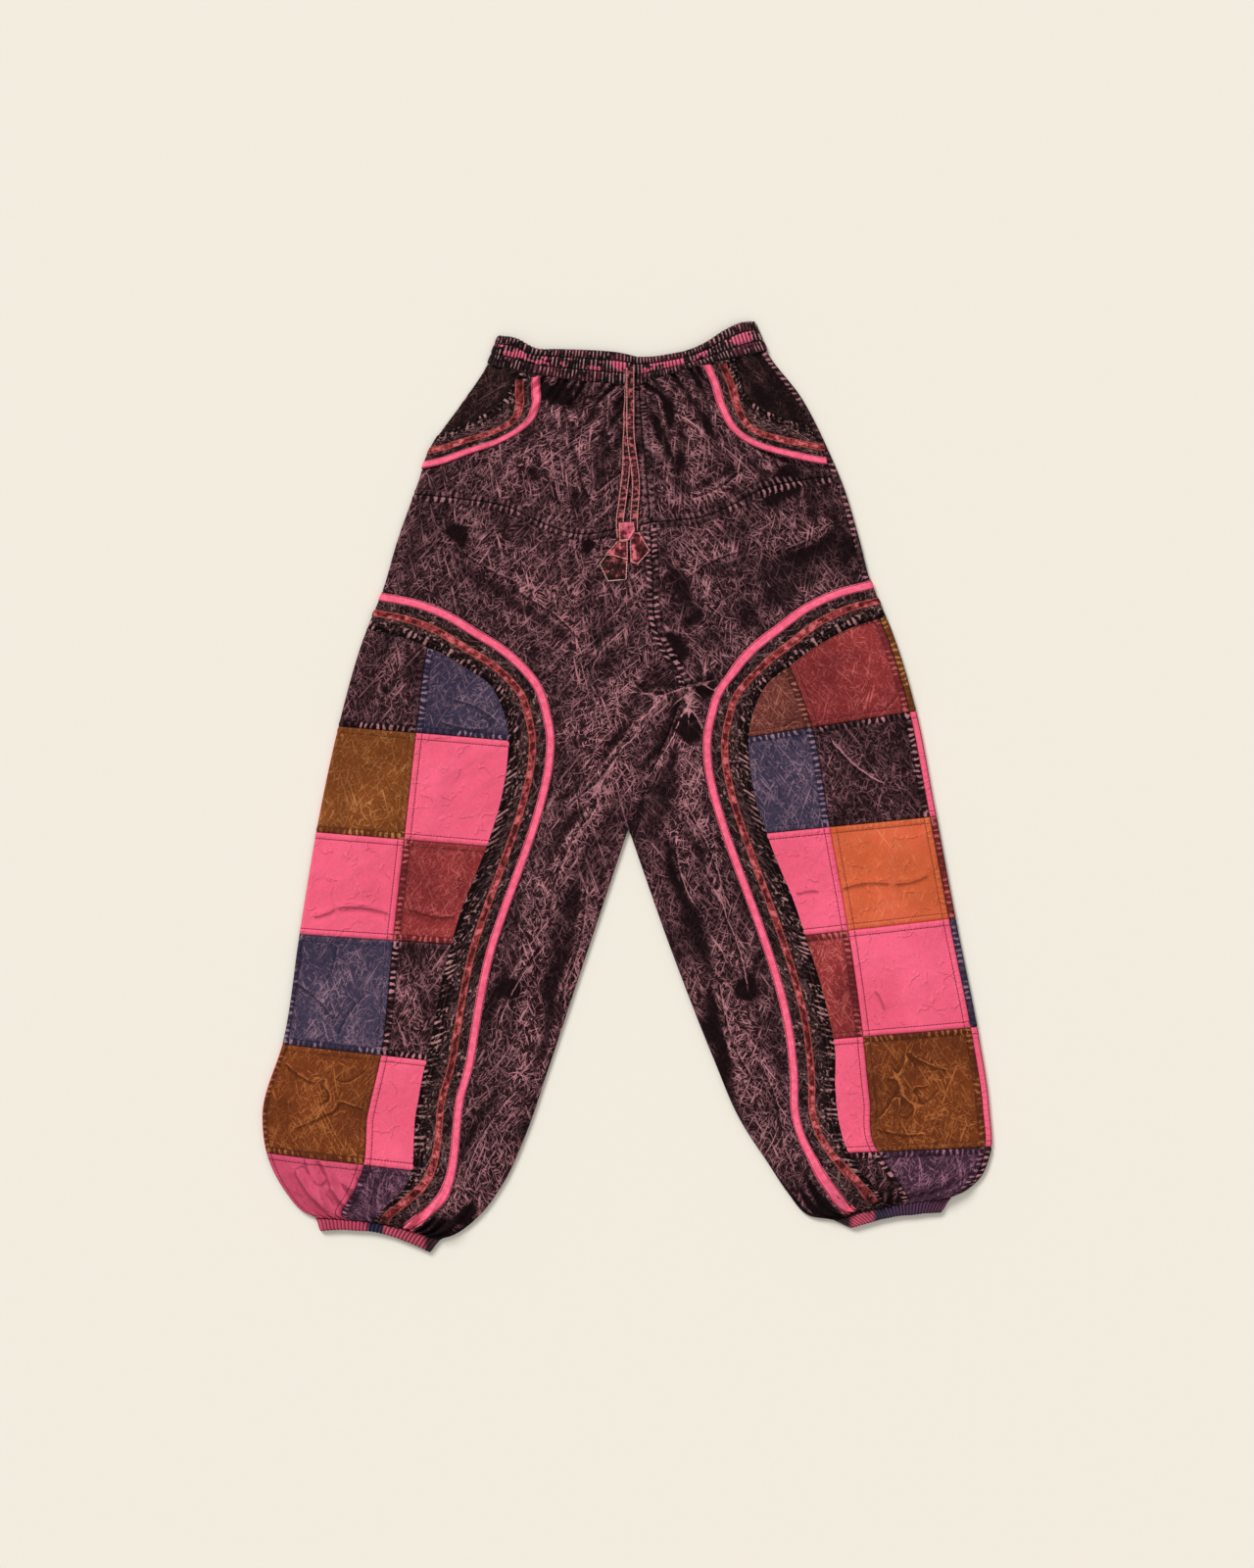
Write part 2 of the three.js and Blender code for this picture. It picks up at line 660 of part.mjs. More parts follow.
function addWaistband() {
  const ends = {
    left: { top: halves.left.places[0], reach: halves.left.places[1] - halves.left.places[0] },
    right: { top: halves.right.places[0], reach: halves.right.places[1] - halves.right.places[0] },
  };
  const leftShare = 38 / 144;
  gatheredRing(charcoal, 'waistband', waist.gathers, waistRows, (turn, share, outside, puff) => {
    const layer = turn < 0.5 ? 'front' : 'back';
    const across = turn < 0.5 ? turn * 2 : 2 - turn * 2;
    const isLeft = across <= leftShare * 2;
    const half = isLeft ? halves.left : halves.right;
    const end = ends[half.side];
    const v = end.top + end.reach * (1 - share) - (share === 0 ? seamGap : 0);
    const toCentre = isLeft ? across / (leftShare * 2) : (1 - across) / (1 - leftShare * 2);
    const f = THREE.MathUtils.lerp(midFold, widthAt(half, v) - centreGap / 2, toCentre);
    const rise = layer === 'front'
      ? THREE.MathUtils.lerp(waist.valley, waist.ridge, puff)
      : puff * waist.backRidge - waist.backInset;
    const edge = THREE.MathUtils.smoothstep(f, foldRadius, 12);
    const inset = layer === 'front' ? 0 : -waist.backInset * edge;
    return onCloth(half, layer, f, v, outside ? rise * edge : inset - clothWall);
  });
}

const cuffRows = table(['share', 'puff'], [[0, 0.6], [0.5, 1], [1, 0.6]]);

function addCuff(half) {
  const top = half.places[legEndRow] + cuffGap / 2;
  const hem = half.places[hemRow];
  gatheredRing(charcoal, `cuff_${half.side}`, cuff.gathers, cuffRows, (turn, share, outside, puff) => {
    const layer = turn < 0.5 ? 'front' : 'back';
    const across = turn < 0.5 ? turn * 2 : 2 - turn * 2;
    const v = THREE.MathUtils.lerp(top, hem, share);
    const f = THREE.MathUtils.lerp(midFold, innerEnd(half, v) + seamGap / 2, across);
    const rise = layer === 'front'
      ? THREE.MathUtils.lerp(cuff.valley, cuff.ridge, puff)
      : puff * cuff.backRidge - cuff.backInset;
    const edge = Math.min(THREE.MathUtils.smoothstep(f, foldRadius, 10),
      THREE.MathUtils.smoothstep(widthAt(half, v) - f, foldRadius, 10));
    const inset = layer === 'front' ? 0 : -cuff.backInset * edge;
    return onCloth(half, layer, f, v, outside ? rise * edge : inset - clothWall);
  });
}

// Middle lines of the two drawstrings, from the waist casing to the tabs
const routeColumns = ['x', 'y', 'z'];
const stringRoutes = {
  left: table(routeColumns, [
    [2, 451, 10.4], [2, 443, 10.3], [2, 434, 9.9], [1, 426, 8.6], [1, 416, 7.3], [0, 404, 7.1],
    [0, 388, 7.1], [-1, 370, 7.1], [-1, 352, 7.1], [-2, 336, 7.1], [-4, 319, 7.1], [-6, 303, 7.1],
    [-8, 289, 7.1], [-8, 278, 7.1], [-7, 267.5, 7.1],
  ]),
  right: table(routeColumns, [
    [3, 450, 12.8], [3, 442, 12.7], [3, 433, 12.3], [3, 424, 11], [3, 414, 9.8], [3, 402, 9.5],
    [3, 386, 9.5], [4, 370, 9.5], [6, 354, 9.5], [8, 340, 9.3], [9, 329, 7.9], [9, 318, 7.2],
    [8, 304, 7.1], [7, 290, 7.1], [7, 275.5, 7.1],
  ]),
};
const tabOutlines = {
  left: table(['x', 'y'], [
    [-12, 265], [-31, 240], [-21.5, 220.5], [-0.5, 222.5], [0.5, 245], [-0.5, 266.5],
  ]),
  right: table(['x', 'y'], [[3, 274.5], [2.2, 262], [2.8, 242], [11, 238.5], [25, 254], [13, 274]]),
};

// Flat section with eight sides: its width lies across the route and its height stands up
function stringSection() {
  const flat = drawstring.width / 2 - drawstring.height / 2;
  const tall = drawstring.height / 2;
  const eased = tall * 0.5;
  return new THREE.Shape([
    new THREE.Vector2(flat, -tall),
    new THREE.Vector2(flat + tall, -eased),
    new THREE.Vector2(flat + tall, eased),
    new THREE.Vector2(flat, tall),
    new THREE.Vector2(-flat, tall),
    new THREE.Vector2(-flat - tall, eased),
    new THREE.Vector2(-flat - tall, -eased),
    new THREE.Vector2(-flat, -tall),
  ]);
}

function indexed(geometry) {
  geometry.deleteAttribute('normal');
  geometry.deleteAttribute('uv');
  return mergeVertices(geometry, 1e-4);
}

function addDrawstring(side) {
  const points = stringRoutes[side].map((row) => new THREE.Vector3(row.x, row.y, row.z));
  const route = new THREE.CatmullRomCurve3(points, false, 'centripetal');
  const options = { steps: drawstring.steps, extrudePath: route };
  addPiece(`drawstring_${side}`, indexed(new THREE.ExtrudeGeometry(stringSection(), options)), charcoal);
  const outline = new THREE.Shape(tabOutlines[side].map((row) => new THREE.Vector2(row.x, row.y)));
  const tab = new THREE.ExtrudeGeometry(outline, { depth: tabHeight, bevelEnabled: false });
  tab.translate(0, 0, 2 * foldRadius + seamGap);
  addPiece(`tab_${side}`, indexed(tab), charcoal);
}

addWaistband();
for (const half of Object.values(halves)) {
  addYokeAndPocket(half);
  addLeg(half);
  addCuff(half);
  addDrawstring(half.side);
}

export default group;
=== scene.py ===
import math

import bmesh
import bpy
import numpy
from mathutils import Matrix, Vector


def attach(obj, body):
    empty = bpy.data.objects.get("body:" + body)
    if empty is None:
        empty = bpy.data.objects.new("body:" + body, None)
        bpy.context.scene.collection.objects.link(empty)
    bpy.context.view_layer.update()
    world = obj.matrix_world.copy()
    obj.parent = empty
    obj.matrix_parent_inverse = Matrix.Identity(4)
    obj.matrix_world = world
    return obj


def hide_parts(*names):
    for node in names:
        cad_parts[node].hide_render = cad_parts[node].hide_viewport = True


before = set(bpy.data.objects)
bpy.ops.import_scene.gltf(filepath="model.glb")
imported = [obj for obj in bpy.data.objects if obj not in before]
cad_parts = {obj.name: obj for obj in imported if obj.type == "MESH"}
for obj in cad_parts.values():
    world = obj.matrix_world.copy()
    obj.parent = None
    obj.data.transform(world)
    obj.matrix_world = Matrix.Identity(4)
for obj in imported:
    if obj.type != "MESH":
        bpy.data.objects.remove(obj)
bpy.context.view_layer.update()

mm = 0.001
print("frame loaded")


# Camera, light and floor

studio = {
    "lens": 85,
    "sensor": 36,
    "viewHeight": 1.68,  # metres of floor from the bottom to the top of the picture
    "aimX": -0.0005,
    "aimY": 0.0042,
    "clothHeight": 0.008,
    "floorColour": (0.86, 0.815, 0.725, 1),
    "skyColour": (1.0, 0.985, 0.96, 1),
    "skyStrength": 0.48,
    "keyStrength": 2.42,
    "keySoftness": 22,      # degrees
    "keyPlace": (-1.3, 2.0, 1.9),
    "fillStrength": 0.32,
    "fillSoftness": 40,
    "fillPlace": (1.9, -0.9, 2.4),
}


def makeCamera():
    bpy.context.scene.view_settings.view_transform = "Standard"
    data = bpy.data.cameras.new("studioCamera")
    data.lens = studio["lens"]
    data.sensor_width = studio["sensor"]
    data.dof.use_dof = False
    camera = bpy.data.objects.new("studioCamera", data)
    distance = studio["viewHeight"] * studio["lens"] / studio["sensor"]
    camera.location = (studio["aimX"], studio["aimY"], distance + studio["clothHeight"])
    bpy.context.scene.collection.objects.link(camera)
    bpy.context.scene.camera = camera


def makeLight(name, strength, softness, place):
    data = bpy.data.lights.new(name, "SUN")
    data.angle = math.radians(softness)
    data.energy = strength
    light = bpy.data.objects.new(name, data)
    light.location = place
    light.rotation_mode = "QUATERNION"
    light.rotation_quaternion = (-Vector(place)).to_track_quat("-Z", "Y")
    bpy.context.scene.collection.objects.link(light)


def makeStudio():
    world = bpy.data.worlds.new("softSky")
    world.use_nodes = True
    sky = world.node_tree.nodes["Background"]
    sky.inputs["Color"].default_value = studio["skyColour"]
    sky.inputs["Strength"].default_value = studio["skyStrength"]
    bpy.context.scene.world = world
    makeLight("keyLight", studio["keyStrength"], studio["keySoftness"], studio["keyPlace"])
    makeLight("fillLight", studio["fillStrength"], studio["fillSoftness"], studio["fillPlace"])
    bm = bmesh.new()
    bmesh.ops.create_grid(bm, x_segments=4, y_segments=4, size=4)
    mesh = bpy.data.meshes.new("floor")
    bm.to_mesh(mesh)
    bm.free()
    floor = bpy.data.objects.new("floor", mesh)
    bpy.context.scene.collection.objects.link(floor)
    material = bpy.data.materials.new("paleFloor")
    material.use_nodes = True
    shader = material.node_tree.nodes["Principled BSDF"]
    shader.inputs["Base Color"].default_value = studio["floorColour"]
    shader.inputs["Roughness"].default_value = 0.9
    mesh.materials.append(material)


makeCamera()
makeStudio()
print("camera and light ready")


# Material tools

def addNode(tree, kind, inputs=(), **settings):
    node = tree.nodes.new(kind)
    for name, value in settings.items():
        setattr(node, name, value)
    for name, value in dict(inputs).items():
        if isinstance(value, bpy.types.NodeSocket):
            tree.links.new(value, node.inputs[name])
        else:
            node.inputs[name].default_value = value
    return node


def calc(tree, operation, first, second=0.0, clamp=False):
    node = addNode(tree, "ShaderNodeMath", {0: first, 1: second}, operation=operation)
    node.use_clamp = clamp
    return node.outputs[0]


# Several values put together by one operation
def chain(tree, operation, values):
    result = values[0]
    for value in values[1:]:
        result = calc(tree, operation, result, value)
    return result


def times(tree, *values):
    return chain(tree, "MULTIPLY", values)


def plus(tree, *values):
    return chain(tree, "ADD", values)


def largest(tree, *values):
    return chain(tree, "MAXIMUM", values)


def awayFrom(tree, value, place):
    return calc(tree, "ABSOLUTE", calc(tree, "SUBTRACT", value, place))


def rampTo(tree, value, low, high, start=0.0, end=1.0):
    inputs = {"Value": value, "From Min": low, "From Max": high, "To Min": start, "To Max": end}
    return addNode(tree, "ShaderNodeMapRange", inputs, interpolation_type="SMOOTHSTEP").outputs[0]


# The four parts that a colour socket takes
def opaque(colour):
    return colour + (1,) if isinstance(colour, tuple) else colour


def blendColour(tree, factor, first, second, kind="MIX"):
    inputs = {0: factor, 6: opaque(first), 7: opaque(second)}
    return addNode(tree, "ShaderNodeMix", inputs, data_type="RGBA", blend_type=kind).outputs[2]


def placed(tree, vector, scale, turn=0.0, move=(0, 0, 0)):
    inputs = {"Vector": vector, "Location": move, "Rotation": (0, 0, turn), "Scale": scale}
    return addNode(tree, "ShaderNodeMapping", inputs).outputs[0]


def grain(tree, vector, scale, detail=2.0, roughness=0.5, distortion=0.0):
    inputs = {"Vector": vector, "Scale": scale, "Detail": detail, "Roughness": roughness,
              "Distortion": distortion}
    return addNode(tree, "ShaderNodeTexNoise", inputs, noise_dimensions="2D").outputs[0]


# Grain that has other sizes across and along the cloth
def stretched(tree, vector, across, along, detail, roughness=0.5, distortion=0.0):
    return grain(tree, placed(tree, vector, (across, along, 1)), 1.0, detail, roughness, distortion)


def readMap(tree, name):
    return addNode(tree, "ShaderNodeUVMap", uv_map=name).outputs[0]


def readValue(tree, name, part="Fac"):
    return addNode(tree, "ShaderNodeAttribute", attribute_name=name).outputs[part]


def twoParts(tree, vector):
    return addNode(tree, "ShaderNodeSeparateXYZ", {0: vector}).outputs[:2]


def newMaterial(name):
    material = bpy.data.materials.new(name)
    material.use_nodes = True
    return material, material.node_tree


streakRuns = [
    # turn, move, length, width, low, high, share
    (0.35, 0.0, 80, 600, 0.684, 0.698, 0.9),
    (0.85, 3.1, 65, 640, 0.684, 0.698, 0.8),
    (1.30, 4.3, 80, 610, 0.681, 0.695, 1.0),
    (1.75, 5.2, 65, 650, 0.684, 0.698, 0.8),
    (2.25, 6.4, 75, 610, 0.684, 0.698, 0.9),
    (2.80, 9.2, 65, 640, 0.688, 0.703, 0.8),
    (1.10, 12.1, 20, 460, 0.690, 0.705, 1.0),
    (2.05, 14.3, 22, 460, 0.690, 0.705, 1.0),
]
# Sizes are in repeats a metre, lengths in metres, and the two halves in parts of a cell
washing = {
    "cloudSize": 8.0,
    "mottleSize": 210.0,
    "threadPatchSize": 60.0,
    "cellSize": 38.0,
    "cellBendSize": 45.0,
    "cellBend": 0.035,
    "lineHalf": 0.035,
    "creaseHalf": 0.10,
    "cloudDepth": 0.6,
    "mottleShare": 0.045,
    "hollowShare": 0.72,
    "hollowTone": 0.4,
    "sewingPlace": 0.0066,
    "sewingWidth": 0.0007,
    "stitchesPerMetre": 290.0,
    "weaveSize": 1500,
    "bump": 0.0010,
}
# The pale dashes across the seams
dashing = {
    "pitch": 0.0066,
    "sway": 9.0,
    "swaySize": 40.0,
    "uneven": 3.0,
    "unevenSize": 150.0,
    "presentSize": 32.0,
    "ragged": 0.006,
    "raggedSize": 240.0,
}


# Fine pale threads in several directions, as a garment wash leaves on crumpled cotton
def crackle(tree, cloth):
    threads = []
    for turn, move, length, width, low, high, share in streakRuns:
        turned = placed(tree, cloth, (1, 1, 1), turn, (move, -move, 0))
        streak = stretched(tree, turned, length, width, 1.0, 0.4, 0.5)
        thread = rampTo(tree, streak, low, high, 0.0, share)
        patch = grain(tree, turned, washing["threadPatchSize"], 3.0, 0.6)
        threads.append(times(tree, thread, rampTo(tree, patch, 0.36, 0.60, 0.2, 1.0)))
    sway = addNode(tree, "ShaderNodeTexNoise",
                   {"Vector": cloth, "Scale": washing["cellBendSize"], "Detail": 3.0},
                   noise_dimensions="2D").outputs[1]
    bent = addNode(tree, "ShaderNodeVectorMath", {0: sway, 2: cloth}, operation="MULTIPLY_ADD")
    bent.inputs[1].default_value = (washing["cellBend"], washing["cellBend"], 0.0)
    cells = addNode(tree, "ShaderNodeTexVoronoi",
                    {"Vector": bent.outputs[0], "Scale": washing["cellSize"]},
                    feature="DISTANCE_TO_EDGE", voronoi_dimensions="2D").outputs["Distance"]
    broken = rampTo(tree, grain(tree, cloth, 60.0, 2.0), 0.48, 0.62)
    crease = times(tree, rampTo(tree, cells, 0.0, washing["creaseHalf"], 1.0, 0.0), broken)
    line = times(tree, rampTo(tree, cells, 0.0, washing["lineHalf"], 1.0, 0.0), broken)
    return largest(tree, *threads, line), crease


# Dashes across a seam, where the turned edge underneath was rubbed pale in the wash
def seamDashes(tree, cloth, seams, reach):
    sway = times(tree, grain(tree, cloth, dashing["swaySize"], 2.0, 0.5), dashing["sway"])
    uneven = times(tree, grain(tree, cloth, dashing["unevenSize"], 2.0, 0.6), dashing["uneven"])
    present = rampTo(tree, grain(tree, cloth, dashing["presentSize"], 3.0, 0.6), 0.40, 0.56, 0.1, 1.0)
    ragged = calc(tree, "SUBTRACT", grain(tree, cloth, dashing["raggedSize"], 1.0), 0.5)
    ragged = times(tree, ragged, dashing["ragged"])
    found = []
    for away, run in zip(twoParts(tree, seams), reversed(twoParts(tree, cloth))):
        near = rampTo(tree, plus(tree, away, ragged), reach * 0.72, reach, 1.0, 0.0)
        turn = plus(tree, times(tree, run, 2 * math.pi / dashing["pitch"]), sway)
        wave = plus(tree, calc(tree, "SINE", turn), uneven)
        found.append(times(tree, near, times(tree, rampTo(tree, wave, 1.6, 2.1), present)))
    return largest(tree, *found)


# A dashed line of sewing thread at a fixed distance from each seam
def threadLine(tree, cloth, seams):
    half = washing["sewingWidth"]
    found = []
    for away, run in zip(twoParts(tree, seams), reversed(twoParts(tree, cloth))):
        line = rampTo(tree, awayFrom(tree, away, washing["sewingPlace"]), half * 0.5, half, 1.0, 0.0)
        step = calc(tree, "FRACT", times(tree, run, washing["stitchesPerMetre"]))
        found.append(times(tree, line, rampTo(tree, step, 0.10, 0.22)))
    return largest(tree, *found)


def finishCloth(material, colour, height, roughness, sheen, bumpDepth):
    tree = material.node_tree
    shader = tree.nodes["Principled BSDF"]
    tree.links.new(colour, shader.inputs["Base Color"])
    bump = addNode(tree, "ShaderNodeBump", {"Height": height, "Strength": 0.8, "Distance": bumpDepth})
    tree.links.new(bump.outputs[0], shader.inputs["Normal"])
    rough = rampTo(tree, height, 0.0, 1.0, roughness - 0.06, roughness + 0.04)
    tree.links.new(rough, shader.inputs["Roughness"])
    shader.inputs["Sheen Weight"].default_value = sheen
    shader.inputs["Sheen Roughness"].default_value = 0.5
    shader.inputs["Specular IOR Level"].default_value = 0.06
    return material


washedCloths = {
    # name: base, deep, pale, thread share, dash share, thread colour, sewing share, dash reach; deep is
    # also the painted shade of sunk places
    "charcoal": ((0.0155, 0.0040, 0.0058), (0.0045, 0.0012, 0.0018), (0.54, 0.235, 0.265),
                 0.87, 0.9, (0.004, 0.002, 0.003), 0.6, 0.0078),
    "stained_charcoal": ((0.010, 0.003, 0.004), (0.004, 0.0014, 0.0018), (0.44, 0.215, 0.215),
                         0.4, 1.0, (0.11, 0.035, 0.03), 0.35, 0.0115),
    "pink": ((0.93, 0.130, 0.232), (0.78, 0.092, 0.17), (0.96, 0.22, 0.32),
             0.20, 0.0, (0.13, 0.010, 0.025), 0.9, 0.0078),
    "brown": ((0.225, 0.058, 0.012), (0.085, 0.020, 0.005), (0.58, 0.24, 0.085),
              0.8, 0.75, (0.03, 0.010, 0.006), 0.5, 0.0078),
    "maroon": ((0.28, 0.030, 0.031), (0.085, 0.008, 0.011), (0.62, 0.14, 0.13),
               0.8, 0.75, (0.03, 0.006, 0.010), 0.5, 0.0078),
    "lining": ((0.012, 0.004, 0.0045), (0.004, 0.0014, 0.0018), (0.30, 0.14, 0.13),
               0.35, 0.3, (0.11, 0.035, 0.03), 0.35, 0.0078),
    # Pink darkened as painted shade, for the lowest outer patch of the left leg
    "rose": ((0.66, 0.085, 0.165), (0.40, 0.045, 0.095), (0.80, 0.16, 0.25),
             0.25, 0.0, (0.10, 0.008, 0.02), 0.9, 0.0078),
    "chestnut": ((0.165, 0.036, 0.009), (0.065, 0.013, 0.005), (0.44, 0.145, 0.045),
                 0.8, 0.75, (0.03, 0.010, 0.006), 0.5, 0.0078),
    "russet": ((0.150, 0.034, 0.026), (0.055, 0.010, 0.010), (0.50, 0.18, 0.13),
               0.8, 0.75, (0.03, 0.008, 0.008), 0.5, 0.0078),
    "navy": ((0.046, 0.036, 0.070), (0.014, 0.013, 0.034), (0.34, 0.20, 0.26),
             0.75, 0.85, (0.010, 0.010, 0.026), 0.6, 0.0078),
    "purple": ((0.055, 0.022, 0.044), (0.016, 0.006, 0.014), (0.40, 0.17, 0.25),
               0.8, 0.85, (0.010, 0.006, 0.016), 0.6, 0.0078),
    "orange": ((0.74, 0.125, 0.060), (0.47, 0.085, 0.018), (0.86, 0.27, 0.12),
               0.5, 0.30, (0.16, 0.025, 0.015), 0.8, 0.0078),
    "rust": ((0.20, 0.040, 0.034), (0.05, 0.012, 0.012), (0.55, 0.16, 0.13),
             0.60, 0.0, (0.55, 0.22, 0.17), 0.9, 0.0078),
}


# The rubbed crest of each placed crease, and painted shade in the hollow beside it. The map holds the
# distance to the crest times the nearness, and the nearness.
def creaseLines(tree, cloth):
    weighted, near = twoParts(tree, readMap(tree, "creaseMap"))
    near = calc(tree, "MAXIMUM", near, 0.001)
    shaky = times(tree, calc(tree, "SUBTRACT", grain(tree, cloth, 120.0, 3.0, 0.6), 0.5), 2.6)
    away = plus(tree, calc(tree, "DIVIDE", weighted, near), shaky)
    present = rampTo(tree, near, 0.12, 0.5)
    broken = rampTo(tree, grain(tree, cloth, 85.0, 3.0, 0.6), 0.38, 0.52)
    crest = rampTo(tree, calc(tree, "ABSOLUTE", away), 0.25, 0.8, 1.0, 0.0)
    crest = times(tree, times(tree, crest, broken), times(tree, present, readValue(tree, "crest")))
    hollowShade = times(tree, rampTo(tree, away, 0.5, 1.4), rampTo(tree, away, 2.0, 5.5, 1.0, 0.0))
    return crest, times(tree, hollowShade, present)


def makeWashedCloth(name):
    base, deep, pale, paleShare, dashShare, threadColour, threadShare, reach = washedCloths[name]
    material, tree = newMaterial(name + "Cloth")
    cloth = readMap(tree, "clothMap")
    seams = readMap(tree, "seamMap")
    wear = readValue(tree, "wear")
    rope = readValue(tree, "rope")
    threads, creases = crackle(tree, cloth)
    cloud = rampTo(tree, grain(tree, cloth, washing["cloudSize"], 5.0, 0.62), 0.34, 0.66)
    mottle = rampTo(tree, grain(tree, cloth, washing["mottleSize"], 3.0, 0.7), 0.36, 0.72)
    darker = times(tree, calc(tree, "SUBTRACT", 1.0, cloud), washing["cloudDepth"])
    ground = blendColour(tree, darker, base, deep)
    ground = blendColour(tree, times(tree, mottle, washing["mottleShare"] * paleShare), ground, pale)
    lit = times(tree, threads, rampTo(tree, cloud, 0.0, 1.0, 0.6, 1.0))
    # Threads are dimmed where the cloth sinks, as painted shade, and show more on rubbed crests
    lit = calc(tree, "MULTIPLY", lit, rampTo(tree, wear, 0.1, 0.85, 0.45, 1.35), clamp=True)
    colour = blendColour(tree, times(tree, lit, paleShare), ground, pale)
    # Sunk places take the deep colour, as painted shade in the folds, on the leg turned from the light
    # and toward the cuffs
    colour = blendColour(tree, rampTo(tree, wear, 0.0, 0.48, 0.8, 0.0), colour, deep)
    crest, hollowShade = creaseLines(tree, cloth)
    # The painted shade colour: the base darkened
    shade = tuple(washing["hollowTone"] * part for part in base)
    # Painted shadow in the hollow beside each crease
    colour = blendColour(tree, times(tree, hollowShade, washing["hollowShare"]), colour, shade)
    # Sunk places darken further toward the painted shade colour
    colour = blendColour(tree, rampTo(tree, wear, 0.0, 0.34, 0.7, 0.0), colour, shade)
    colour = blendColour(tree, times(tree, crest, min(1, paleShare * 1.1)), colour, pale)
    nearest = calc(tree, "MINIMUM", *twoParts(tree, seams))
    rim = times(tree, rampTo(tree, nearest, reach * 0.7, reach * 1.25, dashShare, 0.0), rope)
    colour = blendColour(tree, rim, colour, deep)
    dashes = times(tree, seamDashes(tree, cloth, seams, reach), rope)
    if name == "stained_charcoal":
        torn = rampTo(tree, grain(tree, cloth, 75.0, 3.0, 0.7), 0.46, 0.56)
        fleck = rampTo(tree, stretched(tree, cloth, 330, 210, 2.0, 0.6), 0.60, 0.66)
        fleck = times(tree, fleck, rampTo(tree, grain(tree, cloth, 38.0, 3.0, 0.6), 0.48, 0.58))
        dashes = largest(tree, times(tree, dashes, torn), times(tree, fleck, 0.8))
    colour = blendColour(tree, times(tree, dashes, dashShare), colour, pale)
    sewing = times(tree, threadLine(tree, cloth, seams), threadShare)
    colour = blendColour(tree, sewing, colour, threadColour)
    colour = blendColour(tree, rampTo(tree, nearest, 0.0002, 0.0011, 0.8, 0.0), colour, deep)
    weave = stretched(tree, cloth, washing["weaveSize"], washing["weaveSize"], 1.0)
    soft = grain(tree, cloth, 90.0, 4.0, 0.6)
    height = plus(tree, times(tree, threads, 0.35), times(tree, weave, 0.15), times(tree, dashes, 0.6),
                  times(tree, creases, 0.8), times(tree, soft, 0.9))
    return finishCloth(material, colour, height, 0.88, 0.02, washing["bump"])


tapeCloths = {
    # name: base, dark, bright, edge thread, edge share, rung share, blot size
    "pinkTape": ((0.92, 0.135, 0.235), (0.84, 0.11, 0.20), (0.95, 0.17, 0.28),
                 (0.16, 0.015, 0.03), 0.8, 0.0, 170),
    "rustTape": ((0.25, 0.030, 0.034), (0.060, 0.007, 0.010), (0.60, 0.13, 0.15),
                 (0.46, 0.12, 0.075), 0.7, 0.0, 130),
    "stringTape": ((0.045, 0.012, 0.013), (0.014, 0.005, 0.006), (0.48, 0.11, 0.13),
                   (0.66, 0.27, 0.25), 0.95, 0.45, 170),
    "darkTab": ((0.035, 0.011, 0.010), (0.012, 0.005, 0.004), (0.34, 0.07, 0.08),
                (0.72, 0.38, 0.35), 0.95, 0.0, 115),
    "knotTape": ((0.50, 0.085, 0.13), (0.10, 0.014, 0.02), (0.85, 0.17, 0.26),
                 (0.75, 0.33, 0.30), 0.9, 0.0, 100),
    "tabTape": ((0.13, 0.020, 0.024), (0.030, 0.006, 0.008), (0.66, 0.14, 0.19),
                (0.72, 0.32, 0.29), 0.95, 0.0, 115),
}
tapeSewing = {"place": 0.0011, "stitchesPerMetre": 300.0, "rungPitch": 0.0065, "bump": 0.0007}


def makeTapeCloth(name):
    base, dark, bright, edgeColour, edgeShare, rungShare, blotSize = tapeCloths[name]
    material, tree = newMaterial(name)
    cloth = readMap(tree, "clothMap")
    away = twoParts(tree, readMap(tree, "seamMap"))[0]
    run = twoParts(tree, cloth)[1]
    blot = stretched(tree, cloth, blotSize, blotSize * 0.8, 3.0, 0.65)
    colour = blendColour(tree, rampTo(tree, blot, 0.50, 0.60), base, dark)
    colour = blendColour(tree, rampTo(tree, blot, 0.36, 0.47, 1.0, 0.0), colour, bright)
    if rungShare:
        sway = times(tree, grain(tree, cloth, 60.0), 6.0)
        turn = plus(tree, times(tree, run, 2 * math.pi / tapeSewing["rungPitch"]), sway)
        rung = rampTo(tree, calc(tree, "SINE", turn), 0.3, 0.8)
        rung = times(tree, rung, rampTo(tree, grain(tree, cloth, 90.0), 0.42, 0.56))
        rung = times(tree, rung, rampTo(tree, away, 0.0014, 0.0026), rungShare)
        colour = blendColour(tree, rung, colour, bright)
    line = rampTo(tree, awayFrom(tree, away, tapeSewing["place"]), 0.00025, 0.0007, 1.0, 0.0)
    step = calc(tree, "FRACT", times(tree, run, tapeSewing["stitchesPerMetre"]))
    line = times(tree, line, rampTo(tree, step, 0.08, 0.2))
    colour = blendColour(tree, times(tree, line, edgeShare), colour, edgeColour)
    colour = blendColour(tree, rampTo(tree, away, 0.0, 0.0005, 0.5, 0.0), colour, dark)
    weave = stretched(tree, cloth, washing["weaveSize"], washing["weaveSize"], 1.0)
    soft = grain(tree, cloth, 220.0, 3.0, 0.6)
    height = plus(tree, times(tree, weave, 0.2), times(tree, line, 0.5), times(tree, soft, 0.7))
    return finishCloth(material, colour, height, 0.86, 0.08, tapeSewing["bump"])


clothMaterials = {name: makeWashedCloth(name) for name in washedCloths}
clothMaterials.update({name: makeTapeCloth(name) for name in tapeCloths})
print("cloth materials ready")


# The pattern: the same sections and curves as the solids, in millimetres

def readTable(names, rows):
    values = numpy.array(rows, float)
    return {name: values[:, i] for i, name in enumerate(names.split())}


